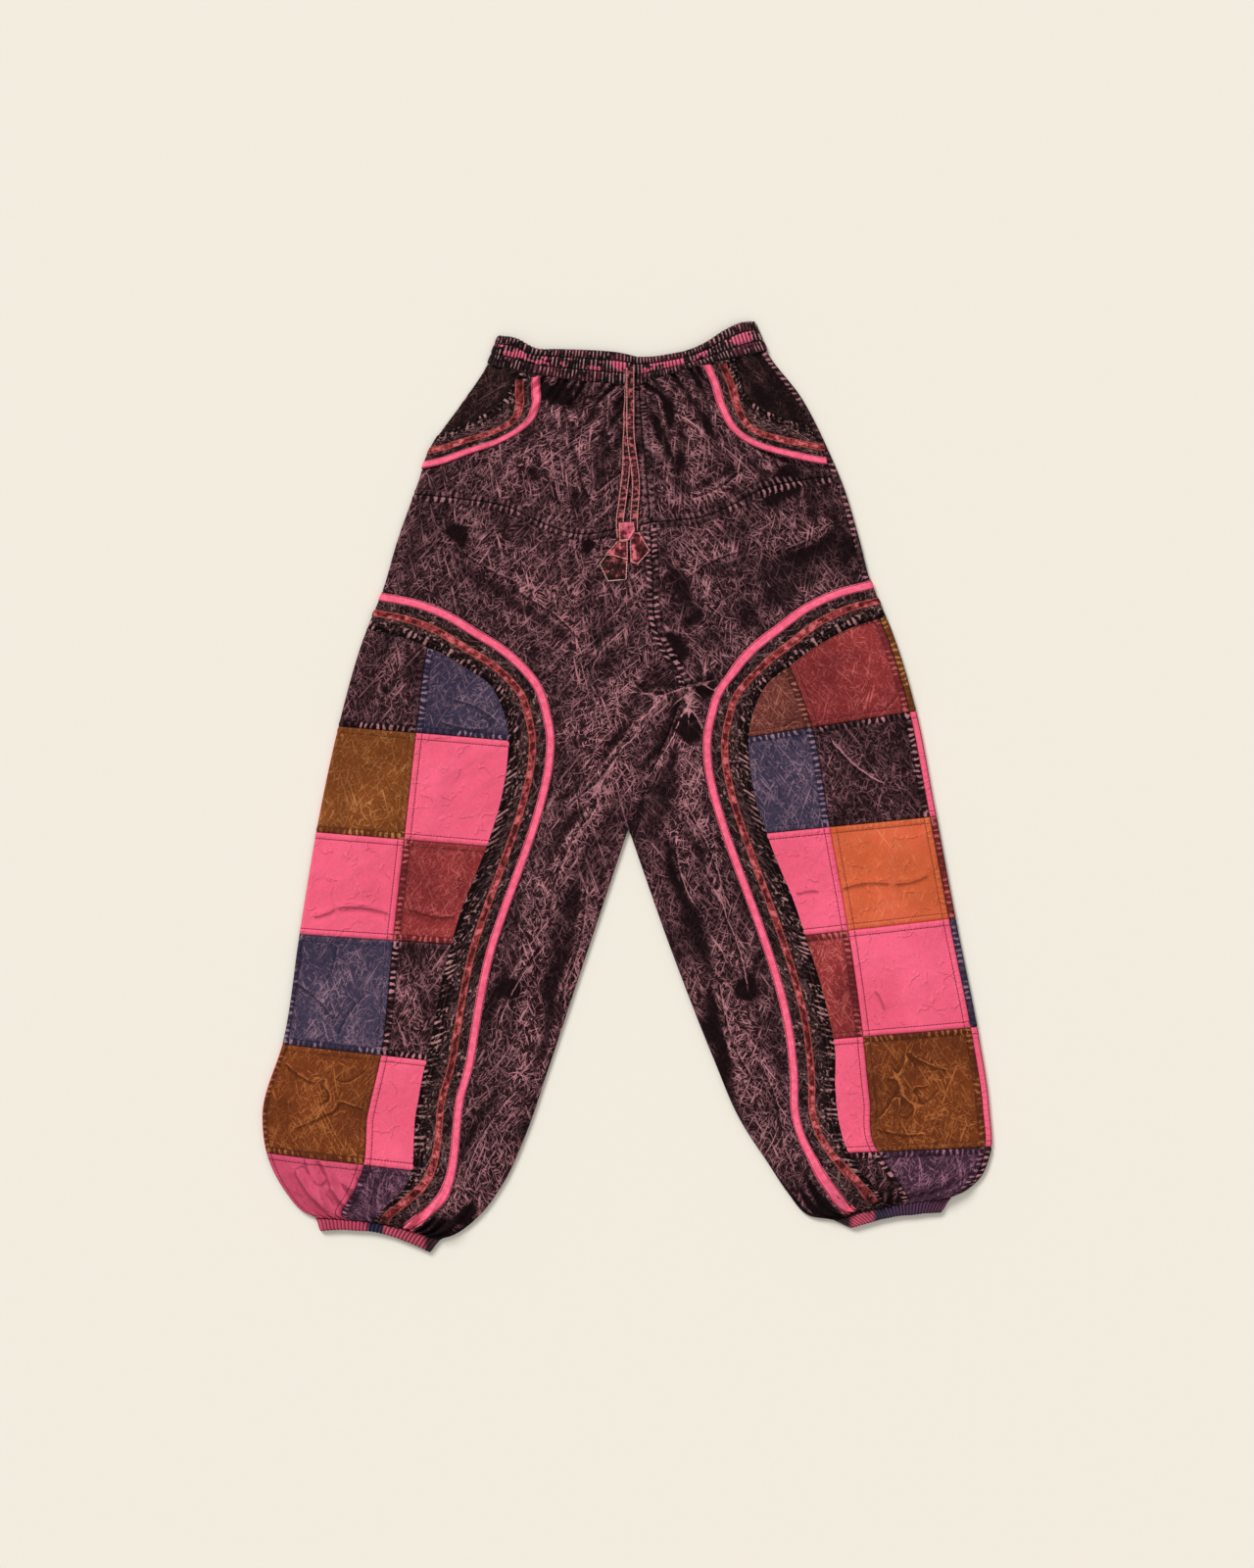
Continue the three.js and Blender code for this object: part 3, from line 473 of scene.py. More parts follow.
sectionColumns = "outerX outerY innerX innerY sag corner"
sections = {
    "left": readTable(sectionColumns, [
        (-139, 483, 11, 462, 4, 0),
        (-150, 455, 12, 432, 5, 0),
        (-179, 411, 15, 391, 2, 0),
        (-212, 363, 20, 338, 0, 0),
        (-227, 321, 24, 286, 0, 0),
        (-247, 265, 27, 230, 0, 0),
        (-262, 214, 31, 172, 0, 0),
        (-285, 156, 63, 110, 0, 1),
        (-310, 67, 33, 38, 0, 0),
        (-328, -15, 1, -44, 0, 1),
        (-352, -156, -43, -176, 0, 0),
        (-369, -269, -85, -302, 0, 0),
        (-392, -353, -109, -372, 0, 0),
        (-387, -393, -133, -424, 0, 0),
        (-368, -432, -161, -461, 0, 0),
        (-349, -454, -187, -480, -2, 0),
        (-334, -462, -201, -485, -6, 0),
        (-329, -476, -212, -498, -10, 0),
    ]),
    "right": readTable(sectionColumns, [
        (137, 499, 11, 462, 5, 0),
        (150, 469, 12, 432, -3, 0),
        (188, 418, 15, 391, 0, 0),
        (216, 363, 20, 338, 0, 0),
        (232, 325, 24, 286, 0, 0),
        (249, 269, 27, 230, 0, 0),
        (262, 220, 31, 172, 0, 0),
        (287, 162, 63, 110, 0, 1),
        (311, 81, 33, 38, 0, 0),
        (329, -12, 1, -44, 0, 1),
        (354, -145, 49, -180, 0, 0),
        (378, -267, 92, -290, 0, 0),
        (389, -342, 120, -355, 0, 0),
        (390, -393, 151, -403, 0, 0),
        (381, -416, 171, -433, 0, 0),
        (362, -433, 193, -458, 0, 0),
        (347, -440, 222, -464, -4, 0),
        (336, -456, 240, -472, -4, 0),
    ]),
}

yokeSeam = readTable("share left right", [
    (0, -3, -9), (0.2, -5, -11), (0.4, -3, -9), (0.58, 11, 1), (0.76, 15, 8), (0.87, 4, 6),
    (1, -9, 3),
])
archOuter = readTable("away down", [
    (0, 271), (38, 273), (76, 281), (116, 297), (151, 312), (181, 331), (205, 354), (221, 383),
    (233, 414), (239, 448), (239, 485), (236, 520), (229, 565), (221, 608), (214, 650),
    (209, 700), (208, 750), (211, 800), (216, 850), (209, 885), (193, 912), (165, 937),
    (138, 956), (114, 975), (104, 990),
])
archInner = readTable("away down", [
    (0, 316), (31, 318), (64, 325), (90, 333), (118, 345), (148, 361), (166, 384), (181, 416),
    (187, 446), (189, 490), (184, 537), (177, 573), (169, 608), (163, 650), (158, 695),
    (156, 740), (156, 780), (163, 825), (163, 862), (158, 888), (144, 908), (118, 929),
    (92, 950), (70, 972), (62, 990),
])
pocketMouth = {
    "left": readTable("away down", [
        (35, -4), (36, 18), (38, 42), (35, 53), (24, 70), (12, 84), (-2, 95),
    ]),
    "right": readTable("away down", [
        (35, -4), (46, 28), (53, 48), (48, 72), (36, 84), (23, 94), (-2, 105),
    ]),
}
pocketOuter = {
    "left": readTable("away down", [
        (55, -4), (64, 14), (77, 36), (84, 62), (80, 80), (66, 100), (43, 116), (23, 128),
        (-2, 137),
    ]),
    "right": readTable("away down", [
        (71, -4), (79, 28), (89, 56), (91, 90), (76, 118), (57, 132), (38, 141), (20, 148),
        (-2, 153),
    ]),
}
patchColumnSeam = readTable("down left right", [
    (300, 66, 122), (424, 84, 114), (538, 95, 116), (650, 101, 117), (770, 107, 124),
    (840, 113, 128), (895, 103, 124), (925, 80, 95), (955, 50, 60), (990, 30, 34),
])
patchRows = readTable("left right", [
    (316, 316), (424, 422), (540, 537), (651, 648), (770, 767), (890, 896), (980, 970),
])
patchCloth = {
    "left": {
        "outer": ["charcoal", "brown", "pink", "navy", "chestnut", "rose"],
        "inner": ["navy", "pink", "maroon", "charcoal", "pink", "purple"],
    },
    "right": {
        "outer": ["maroon", "charcoal", "orange", "pink", "chestnut", "purple"],
        "inner": ["russet", "navy", "pink", "maroon", "pink", "charcoal"],
    },
}
backCloth = {
    "outer": ["brown", "pink", "maroon", "navy", "pink", "charcoal"],
    "inner": ["maroon", "charcoal", "orange", "brown", "navy", "pink"],
}

body = {
    "foldRadius": 2.8,
    "centreGap": 0.3,
    "crotchRow": 7,
    "hemRow": 17,
    "legEndRow": 16,
    "yokeLevel": 165,
    "yokeFade": 262,
    "leftLap": 0,
    "rightLap": 8,
    "cuffGap": 0.4,
    "underPatch": {"front": 0.2, "back": 0.3},
}
foldRadius = body["foldRadius"]
midFold = foldRadius * (1 - math.pi / 2)
lap = {"left": body["leftLap"], "right": body["rightLap"]}


def smooth(value, low, high):
    share = numpy.clip((numpy.asarray(value, float) - low) / (high - low), 0, 1)
    return share * share * (3 - 2 * share)


def through(places, values, corners, place):
    place = numpy.asarray(place, float)
    last = len(places) - 1
    span = numpy.diff(places)
    slope = numpy.diff(values) / span
    i = numpy.searchsorted(places[1:last], place, side="left")
    tangent = numpy.zeros(last + 1)
    tangent[1:last] = (slope[:-1] * span[1:] + slope[1:] * span[:-1]) / (span[:-1] + span[1:])
    free = numpy.array(corners, bool)
    free[0] = free[last] = True
    first = numpy.where(free[i], slope[i], tangent[i])
    second = numpy.where(free[i + 1], slope[i], tangent[i + 1])
    w = (place - places[i]) / span[i]
    start = values[i] * (2 * w ** 3 - 3 * w ** 2 + 1) + values[i + 1] * (3 * w ** 2 - 2 * w ** 3)
    turn = first * (w ** 3 - 2 * w ** 2 + w) + second * (w ** 3 - w ** 2)
    return start + turn * span[i]


def pathPlaces(x, y):
    return numpy.concatenate([[0], numpy.cumsum(numpy.hypot(numpy.diff(x), numpy.diff(y)))])


def makeHalf(side):
    rows = sections[side]
    along = pathPlaces(rows["outerX"], rows["outerY"])
    places = along - along[1]
    innerPlaces = pathPlaces(rows["innerX"], rows["innerY"])
    none = numpy.zeros(len(places))

    def read(key, v):
        return through(places, rows[key], none, v)

    def readInner(key, v):
        place = numpy.interp(v, places, innerPlaces)
        beyond = numpy.asarray(v, float) - places[-1]
        place = place + numpy.maximum(beyond, 0)
        return through(innerPlaces, rows[key], rows["corner"], place)

    return {
        "side": side,
        "places": places,
        "outer": lambda v: (read("outerX", v), read("outerY", v)),
        "inner": lambda v: (readInner("innerX", v), readInner("innerY", v)),
        "sag": lambda v: read("sag", v),
        "crotch": places[body["crotchRow"]],
        "legEnd": places[body["legEndRow"]],
        "hem": places[body["hemRow"]],
    }


halves = {side: makeHalf(side) for side in sections}


def widthAt(half, v):
    outer = half["outer"](v)
    inner = half["inner"](v)
    return numpy.hypot(inner[0] - outer[0], inner[1] - outer[1])


def inseamTurn(half, v):
    return smooth(v, half["crotch"], half["crotch"] + 25) * math.pi / 2


def innerEnd(half, v):
    turned = inseamTurn(half, v)
    bent = foldRadius * (turned - numpy.sin(turned))
    return widthAt(half, v) - body["centreGap"] / 2 + bent


# A point on the cloth. f runs from the side fold to the centre or the inseam, v down the leg,
# and lift stands out of the cloth.
def onCloth(half, layer, f, v, lift):
    f, v, lift = numpy.broadcast_arrays(numpy.asarray(f, float), v, lift)
    outer = half["outer"](v)
    inner = half["inner"](v)
    width = numpy.hypot(inner[0] - outer[0], inner[1] - outer[1])
    flatEnd = width - body["centreGap"] / 2 - foldRadius * numpy.sin(inseamTurn(half, v))
    radius = foldRadius + lift
    angle = (foldRadius - f) / foldRadius
    bent = numpy.clip(angle, 0, math.pi)
    beyond = numpy.maximum(angle - math.pi, 0) * foldRadius
    far = (f - flatEnd) / foldRadius
    across = numpy.where(f < foldRadius, foldRadius - radius * numpy.sin(bent) + beyond, f)
    across = numpy.where(f > flatEnd, flatEnd + radius * numpy.sin(far), across)
    height = numpy.where(f < foldRadius, radius * numpy.cos(bent), radius)
    height = numpy.where(f > flatEnd, radius * numpy.cos(far), height)
    share = across / width
    x = outer[0] + (inner[0] - outer[0]) * share
    y = outer[1] + (inner[1] - outer[1]) * share - half["sag"](v) * 4 * share * (1 - share)
    z = foldRadius + height if layer == "front" else foldRadius - height
    return numpy.stack([x, y, z], -1)


# A smooth curve through a short table, as points close together
def smoothCurve(first, second, count=240):
    places = pathPlaces(first, second)
    at = numpy.linspace(0, places[-1], count)
    none = numpy.zeros(len(places))
    return through(places, first, none, at), through(places, second, none, at)


def curveAt(curve, v):
    away, down = smoothCurve(curve["away"], curve["down"])
    return numpy.interp(v, down, away)


def columnSeamAt(side, v):
    seam = patchColumnSeam
    return through(seam["down"], seam[side], numpy.zeros(len(seam["down"])), v)


def yokeShift(half, f, base):
    share = numpy.clip(f / widthAt(half, base), 0, 1)
    seam = through(yokeSeam["share"], yokeSeam[half["side"]], numpy.zeros(7), share)
    level, fade = body["yokeLevel"], body["yokeFade"]
    above = seam * base / level
    below = seam * numpy.maximum(0, (fade - base) / (fade - level))
    return numpy.where(base <= level, above, below)


# Folds, gathers and crumple of the cloth

foldColumns = "away down endAway endDown height halfWidth"
folds = {
    "left": readTable(foldColumns, [
        (80, 25, 150, 150, 3, 12),
        (118, 15, 135, 75, 2, 9),
        (142, 20, 158, 170, 2.4, 10),
        (60, 175, 120, 220, 1.8, 14),
        (215, 290, 255, 370, 3, 14),
        (300, 280, 285, 480, 3.6, 14),
        (330, 350, 300, 430, 2.4, 9),
        (275, 520, 250, 700, 3.4, 14),
        (262, 720, 240, 900, 4.6, 14),
        (225, 890, 150, 975, 4.5, 10),
        (40, 350, 60, 410, 2, 12),
        (130, 440, 120, 530, 2, 12),
        (30, 560, 70, 640, 2.4, 14),
        (60, 670, 35, 760, 2.6, 14),
        (120, 690, 140, 760, 2, 11),
        (60, 790, 70, 880, 3, 16),
    ]),
    "right": readTable(foldColumns, [
        (100, 30, 60, 130, 2.5, 12),
        (120, 30, 150, 140, 3, 10),
        (160, 22, 176, 120, 2, 9),
        (60, 175, 110, 215, 1.8, 14),
        (180, 200, 160, 300, 3, 14),
        (240, 330, 270, 520, 3.6, 14),
        (300, 330, 285, 420, 2.2, 9),
        (275, 540, 250, 700, 3.4, 14),
        (255, 730, 235, 890, 4.6, 14),
        (210, 890, 130, 965, 4.5, 10),
        (60, 350, 50, 410, 2, 12),
        (150, 440, 140, 530, 2, 12),
        (50, 560, 80, 640, 2.4, 14),
        (70, 670, 55, 760, 2.8, 14),
        (140, 680, 145, 750, 2, 11),
        (60, 790, 70, 890, 3, 16),
    ]),
}

# Sharper creases of the front, from one end to the other. Their ends are places in the
# picture, whose pixels are turned into millimetres on the cloth. rubbed is how pale the crest is.
picture = {"middleX": 640.5, "middleY": 804, "pixelSize": 1.05}
creases = readTable("pixelX pixelY endPixelX endPixelY height halfWidth rubbed", [
    (590, 425, 612, 535, 2.2, 10, 0),
    (548, 470, 575, 520, 1.5, 7, 0),
    (604, 396, 596, 455, 1.8, 4, 0),
    (572, 400, 582, 470, 1.8, 4, 0),
    (622, 402, 628, 470, 1.4, 4, 0),
    (668, 398, 678, 470, 1.8, 4, 0),
    (700, 394, 690, 480, 2, 5, 0),
    (716, 388, 728, 450, 1.5, 4, 0),
    (640, 480, 600, 520, 1.2, 6, 0.5),
    (760, 480, 700, 512, 1.4, 7, 0.4),
    (703, 700, 655, 735, 2.2, 4, 0.9),
    (703, 700, 640, 705, 1.6, 4, 0.6),
    (703, 700, 735, 672, 1.4, 4, 0.4),
    (703, 700, 745, 712, 1.6, 4, 0.6),
    (703, 700, 722, 750, 1.8, 4, 0.8),
    (702, 704, 655, 800, 2.6, 6, 1),
    (655, 742, 600, 860, 2.2, 8, 0.7),
    (640, 750, 572, 830, 1.8, 7, 0.5),
    (610, 820, 560, 940, 2, 8, 0.5),
    (600, 900, 565, 1030, 2, 8, 0.5),
    (560, 960, 500, 1080, 1.8, 9, 0.6),
    (580, 1000, 530, 1150, 2.4, 10, 0.4),
    (540, 1100, 470, 1215, 2, 7, 0.5),
    (700, 820, 745, 960, 2.2, 8, 0.6),
    (690, 850, 712, 930, 1.6, 5, 0.7),
    (720, 900, 765, 1020, 2, 7, 0.7),
    (735, 1000, 775, 1110, 2, 8, 0.6),
    (775, 1080, 800, 1180, 2, 6, 0.4),
    (470, 560, 560, 600, 1.7, 9, 0.4),
    (520, 600, 600, 660, 1.6, 8, 0.5),
    (640, 640, 600, 690, 1.4, 6, 0.4),
    (700, 590, 760, 560, 1.5, 8, 0.4),
    (800, 560, 850, 530, 1.5, 8, 0.3),
    (740, 610, 700, 650, 1.5, 7, 0.4),
    (320, 934, 343, 925, 1.4, 3, 0.2),
    (343, 925, 402, 933, 2.0, 3.4, 0.2),
    (415, 925, 470, 934, 1.6, 4, 0.2),
    (462, 712, 512, 738, 0.5, 3.2, 0.5),
    (450, 735, 505, 742, 0.8, 3, 0.3),
    (300, 1000, 345, 1045, 0.54, 5, 0.4),
    (375, 1015, 345, 1062, 0.54, 4, 0.5),
    (345, 965, 330, 1010, 1, 5, 0.3),
    (291, 1083, 326, 1106, 0.68, 4, 0.9),
    (337, 1100, 332, 1140, 0.54, 4, 0.7),
    (326, 1106, 376, 1132, 0.63, 4, 0.8),
    (376, 1092, 340, 1110, 0.54, 4, 0.6),
    (300, 1150, 350, 1120, 0.54, 4, 0.5),
    (858, 906, 912, 901, 1.4, 3, 0.2),
    (912, 901, 950, 890, 1.2, 3, 0.2),
    (812, 911, 838, 908, 1, 3, 0.1),
    (848, 754, 908, 802, 0.63, 4, 1),
    (925, 700, 880, 742, 0.45, 4, 0.5),
    (815, 735, 800, 745, 0.36, 3, 0.4),
    (925, 1074, 893, 1152, 0.72, 4, 1),
    (927, 1072, 972, 1092, 0.63, 4, 1),
    (920, 1112, 937, 1152, 0.54, 4, 0.8),
    (893, 1150, 948, 1155, 0.59, 4, 0.8),
    (960, 1112, 915, 1145, 0.54, 4, 0.8),
    (905, 1100, 950, 1108, 0.45, 4, 0.7),
    (895, 1010, 905, 1032, 0.9, 5, 0.1),
    (301, 1192, 341, 1240, 3.2, 4, 0),
    (326, 1180, 340, 1214, 3, 4, 0),
    (338, 1210, 362, 1236, 3, 4, 0),
    (348, 1203, 370, 1230, 1.8, 3.5, 0),
    (312, 1178, 330, 1212, 1.4, 4, 0),
    (372, 1190, 366, 1232, 1.4, 4, 0),
    (417, 1210, 392, 1241, 2, 4, 0.4),
    (436, 1215, 408, 1246, 2, 4, 0.4),
    (395, 1195, 385, 1238, 1.6, 4, 0.4),
    (1004, 1200, 905, 1234, 5.0, 5, 0.6),
    (905, 1200, 890, 1238, 1.8, 4, 0.4),
    (870, 1195, 882, 1236, 1.8, 4, 0.4),
])

# The relief of the front in millimetres. Each size, pitch and reach is in millimetres too.
relief = {
    "air": 2.2,             # how far the front stands off the back
    "creaseScale": 1.25,
    "foldScale": 1.15,
    "crumple": 1.9,
    "crumpleSize": 30,
    "fineCrumple": 0.9,
    "fineSize": 12,
    "wander": 7,
    "wanderSize": 28,
    "waistGather": 2.6,
    "waistPitch": 9.5,
    "waistReach": 26,
    "longGather": 2.6,
    "longPitch": 25,
    "longReach": 80,
    "cuffPleat": 4.6,
    "cuffPleats": 15,
    "calmPleats": {"left": 0.45, "right": 0.75},
    "cuffReach": 125,
    "cuffRoll": 3.5,
    "deepest": 1.9,
    "lapStep": {"left": 2.2, "right": -1.5},
    "lapReach": 185,
    "underStrings": 0.5,
}
backRest = {
    "height": 0.35,
    "highest": 1.4,
    "crumple": 0.6,
    "crumpleSize": 40,
    "fineCrumple": 0.35,
    "fineSize": 15,
    "cuffPleat": 0.8,
    "cuffPleats": 12,
    "cuffReach": 90,
    "waistGather": 0.7,
    "waistPitch": 11,
    "waistReach": 40,
}
# How rubbed the cloth is on the crests, and painted shade in the hollows, on the leg turned from the
# light and toward the cuffs: from 0 in the hollows to 1 on the crests
wearAndShading = {
    "middle": 0.5,
    "crestHeight": 1.5,
    "turnedFromLight": {"left": 0.02, "right": 0.13},
    "cuffShade": {"left": 0.1, "right": 0.3},
    "patchSwing": 0.45,
    "legSwing": 0.75,
    "charcoalPatch": 0.12,
}
noiseCells = 97


def softNoise(x, y, size, seed):
    table = numpy.random.default_rng(seed).random((noiseCells, noiseCells))
    gx = numpy.asarray(x, float) / size + 40
    gy = numpy.asarray(y, float) / size + 40
    ix = numpy.floor(gx).astype(int)
    iy = numpy.floor(gy).astype(int)
    wx = gx - ix
    wy = gy - iy
    wx = wx * wx * wx * (wx * (wx * 6 - 15) + 10)
    wy = wy * wy * wy * (wy * (wy * 6 - 15) + 10)
    left, right = ix % noiseCells, (ix + 1) % noiseCells
    low, high = iy % noiseCells, (iy + 1) % noiseCells
    first = table[left, low] * (1 - wx) + table[right, low] * wx
    second = table[left, high] * (1 - wx) + table[right, high] * wx
    return first * (1 - wy) + second * wy


def ridges(x, y, size, seed):
    value = softNoise(x, y, size, seed)
    return 1 - numpy.abs(2 * value - 1) ** 0.8


# Ridges that run in two slanted directions, as a crumpled sheet has after pressing
def crumple(x, y, size, seed):
    total = 0
    for turn, share in ((0.6, 0.6), (-0.9, 0.4)):
        along = x * math.cos(turn) + y * math.sin(turn)
        over = -x * math.sin(turn) + y * math.cos(turn)
        total = total + share * ridges(along * 0.5, over * 1.15, size, seed + int(turn * 10))
    return total - 0.6


# 1 in the middle, and less on both sides of it
def bell(value, middle, width):
    return numpy.exp(-((value - middle) / width) ** 2)


# The height that the long soft folds give. Each bows a little, and the next one the other way.
def foldHeight(side, f, v):
    rows = folds[side]
    height = 0
    for i in range(len(rows["away"])):
        dx = rows["endAway"][i] - rows["away"][i]
        dy = rows["endDown"][i] - rows["down"][i]
        length = math.hypot(dx, dy)
        wide = rows["halfWidth"][i]
        here = ((f - rows["away"][i]) * dx + (v - rows["down"][i]) * dy) / (dx * dx + dy * dy)
        share = numpy.clip(here, 0, 1)
        bow = 0.06 * length * numpy.sin(share * math.pi) * (1 if i % 2 else -1)
        awayX = f - rows["away"][i] - share * dx + bow * dy / length
        awayY = v - rows["down"][i] - share * dy - bow * dx / length
        sideways = (awayX * dy - awayY * dx) / length
        ends = 0.35 + 0.65 * numpy.sin(math.pi * numpy.clip(share, 0.04, 0.96))
        ridge = bell(numpy.hypot(awayX, awayY), 0, wide)
        trough = bell(sideways, 1.5 * wide, 0.8 * wide) * numpy.exp(-((here - 0.5) / 0.55) ** 4)
        height = height + rows["height"][i] * ends * (ridge - 0.35 * trough)
    return height


# Smooth dark spots near the pockets and on the legs
darkSpots = readTable("pixelX pixelY reach", [
    (803, 492, 24), (786, 505, 16), (575, 402, 17), (556, 402, 12), (736, 388, 16), (468, 545, 14),
    (395, 705, 10), (452, 1100, 12), (720, 700, 18), (690, 660, 16), (830, 945, 12),
    (842, 1232, 20), (448, 1258, 22), (476, 1240, 14), (760, 1010, 16),
    (700, 745, 18), (868, 560, 14), (850, 640, 12), (600, 560, 12), (520, 1010, 14),
])


def pictureX(pixelX):
    return (pixelX - picture["middleX"]) * picture["pixelSize"]


def pictureY(pixelY):
    return (picture["middleY"] - pixelY) * picture["pixelSize"]


def darkSpotShare(x, y):
    share = 0 * x
    for i in range(len(darkSpots["reach"])):
        away = numpy.hypot(x - pictureX(darkSpots["pixelX"][i]), y - pictureY(darkSpots["pixelY"][i]))
        away = away + 14 * (softNoise(x, y, 11, 61) - 0.5)
        share = numpy.maximum(share, 1 - smooth(away / darkSpots["reach"][i], 0.5, 1.1))
    return share


# The height of the creases, the distance to their crests times the nearness, the nearness, and
# how pale the crests are
def creaseFields(x, y):
    total, away, near, rubbed = 0 * x, 0 * x, 0 * x, 0 * x
    for i in range(len(creases["height"])):
        startX, startY = pictureX(creases["pixelX"][i]), pictureY(creases["pixelY"][i])
        dx = pictureX(creases["endPixelX"][i]) - startX
        dy = pictureY(creases["endPixelY"][i]) - startY
        length = math.hypot(dx, dy)
        wide = creases["halfWidth"][i]
        here = ((x - startX) * dx + (y - startY) * dy) / length ** 2
        bow = 0.07 * length * numpy.sin(numpy.clip(here, 0, 1) * math.pi) * (1 if i % 2 else -1)
        sideways = ((x - startX) * dy - (y - startY) * dx) / length + bow
        ends = smooth(here, -0.02, 0.12) * smooth(1.02 - here, 0, 0.3)
        ridge = bell(sideways, 0, wide) - 0.75 * bell(sideways, 1.5 * wide, 0.9 * wide)
        total = total + creases["height"][i] * ends * ridge
        close = ends * bell(sideways, 0, 8)
        near = near + close
        away = away + close * sideways
        rubbed = rubbed + close * creases["rubbed"][i]
    return total, away, near, rubbed / numpy.maximum(near, 0.01)


drawstringArea = readTable("x y reach", [
    (2, 440, 9), (2, 400, 9), (1, 360, 9), (3, 330, 11), (0, 300, 14), (0, 275, 15),
    (-14, 245, 22), (12, 255, 18),
])


def calmUnderStrings(x, y):
    calm = 1
    for i in range(len(drawstringArea["x"])):
        away = numpy.hypot(x - drawstringArea["x"][i], y - drawstringArea["y"][i])
        calm = calm * smooth(away, drawstringArea["reach"][i], drawstringArea["reach"][i] + 16)
    return calm


# Where the flat cloth lies, without its relief
def flatPoint(half, layer, f, v):
    point = onCloth(half, layer, numpy.maximum(f, foldRadius), v, 0)
    return point[..., 0], point[..., 1]


# Height of the front cloth before it is flattened at its edges and under the drawstrings
def looseRelief(half, f, v):
    side = half["side"]
    x, y = flatPoint(half, "front", f, v)
    height = relief["air"] * smooth(f, 4, 40)
    height = height + relief["foldScale"] * foldHeight(side, f, v)
    height = height + relief["creaseScale"] * creaseFields(x, y)[0]
    height = height + relief["crumple"] * crumple(x, y, relief["crumpleSize"], 11)
    height = height + relief["fineCrumple"] * crumple(x, y, relief["fineSize"], 23)
    wander = relief["wander"] * softNoise(f, v, relief["wanderSize"], 31)
    for kind, swing in (("waist", 1), ("long", 2)):
        near = numpy.exp(-numpy.maximum(v, 0) / relief[kind + "Reach"])
        wave = numpy.sin(2 * math.pi * (f + swing * wander) / relief[kind + "Pitch"])
        height = height + relief[kind + "Gather"] * near * wave
    share = f / widthAt(half, v)
    end = half["legEnd"]
    near = smooth(v, end - relief["cuffReach"], end) ** 1.4
    phase = relief["cuffPleats"] * share + 1.1 * softNoise(f * 0.3, v * 0.15, 18, 41)
    pleat = 1 - 2 * numpy.abs(numpy.sin(math.pi * phase)) ** 0.8
    calmSide = 1 - relief["calmPleats"][side] * smooth(0.5 - share, 0, 0.15)
    height = height + relief["cuffPleat"] * near * pleat * calmSide
    height = height + relief["cuffRoll"] * smooth(v, end - 130, end - 60) * smooth(end - v, 2, 60)
    deepest = relief["deepest"]
    return numpy.where(height < 0, -deepest * numpy.tanh(-height / deepest), height)


def frontRelief(half, f, v):
    crotch = half["crotch"]
    toEnd = widthAt(half, v) - f
    calm = calmUnderStrings(*flatPoint(half, "front", f, v))
    height = looseRelief(half, f, v) * calm - relief["underStrings"] * (1 - calm)
    atSeam = 1 - (1 - smooth(toEnd, 0, 12)) * smooth(crotch - v, -20, 6)
    atInseam = smooth(toEnd, 2, 22)
    below = smooth(v, crotch - 4, crotch + 30)
    rim = atSeam * (1 - below) + atInseam * below
    overlap = smooth(v, crotch, crotch + 12) * smooth(crotch + relief["lapReach"] - v, 0, 40)
    edge = bell(numpy.maximum(toEnd - 6, 0), 0, 16)
    return height * rim * smooth(f, 2, 16) + relief["lapStep"][half["side"]] * overlap * edge


def backRelief(half, f, v):
    x, y = flatPoint(half, "back", f, v)
    width = widthAt(half, v)
    height = backRest["height"] + backRest["crumple"] * crumple(x, y, backRest["crumpleSize"], 57)
    height = height + backRest["fineCrumple"] * crumple(x, y, backRest["fineSize"], 63)
    near = smooth(v, half["legEnd"] - backRest["cuffReach"], half["legEnd"])
    pleats = numpy.sin(2 * math.pi * backRest["cuffPleats"] * f / width)
    height = height + backRest["cuffPleat"] * near * pleats
    near = numpy.exp(-numpy.maximum(v, 0) / backRest["waistReach"])
    gathers = numpy.sin(2 * math.pi * (f + 6 * softNoise(f, v, 30, 71)) / backRest["waistPitch"])
    height = height + backRest["waistGather"] * near * gathers
    return -numpy.clip(height, 0, backRest["highest"]) * smooth(f, 2, 14) * smooth(width - f, 2, 14)


# Grids that are laid on the cloth

spacing = {"front": 2.95, "back": 6.6}
edgeSteps = {
    "front": [0, 0.8, 1.7, 2.9, 4.3, 5.7, 6.4, 7.1, 8.6],
    "back": [0, 1.2, 2.8, 5.0, 7.4],
}
noSeam = 200.0          # the distance that is written where no seam is near, in millimetres
walls = {"panel": 0.9, "strip": 0.7, "tape": 0.6}
# Swells and grooves along a sewn edge, in millimetres from it
edgeShapes = {
    # height, distance, width
    "panel": [(0.5, 3.6, 2.4), (-1.1, 0, 1.1), (-0.35, 6.4, 0.8)],
    "band": [(-1.2, 0, 1.0)],
    "pocketBand": [(-1.0, 0, 1.0)],
    "tape": [(-1.0, 0, 0.5), (-0.25, 1.6, 0.4)],
    "backTape": [(-0.3, 0, 0.5)],
}
# The limits of a cut size: the least width in metres, and the least part of its rectangle that
# a shape fills
cutLimits = {"narrowest": 0.0105, "leastShare": 0.31, "shareOfPoint": 0.5}


def edgeShape(kind, away):
    return sum(height * bell(away, place, width) for height, place, width in edgeShapes[kind])


# Places from 0 to width, close together near both ends
def spread(width, count, steps):
    width = numpy.asarray(width, float)[..., None]
    room = numpy.minimum(1, width / (2 * steps[-1] + 4))
    first = numpy.array(steps) * room
    last = width - numpy.array(steps[::-1]) * room
    share = numpy.linspace(0, 1, count + 1)[1:-1]
    middle = first[..., -1:] + (last[..., :1] - first[..., -1:]) * share
    return numpy.concatenate([first, middle, last], -1)


def meshPoints(mesh):
    points = numpy.empty(len(mesh.vertices) * 3)
    mesh.vertices.foreach_get("co", points)
    return points.reshape(-1, 3)


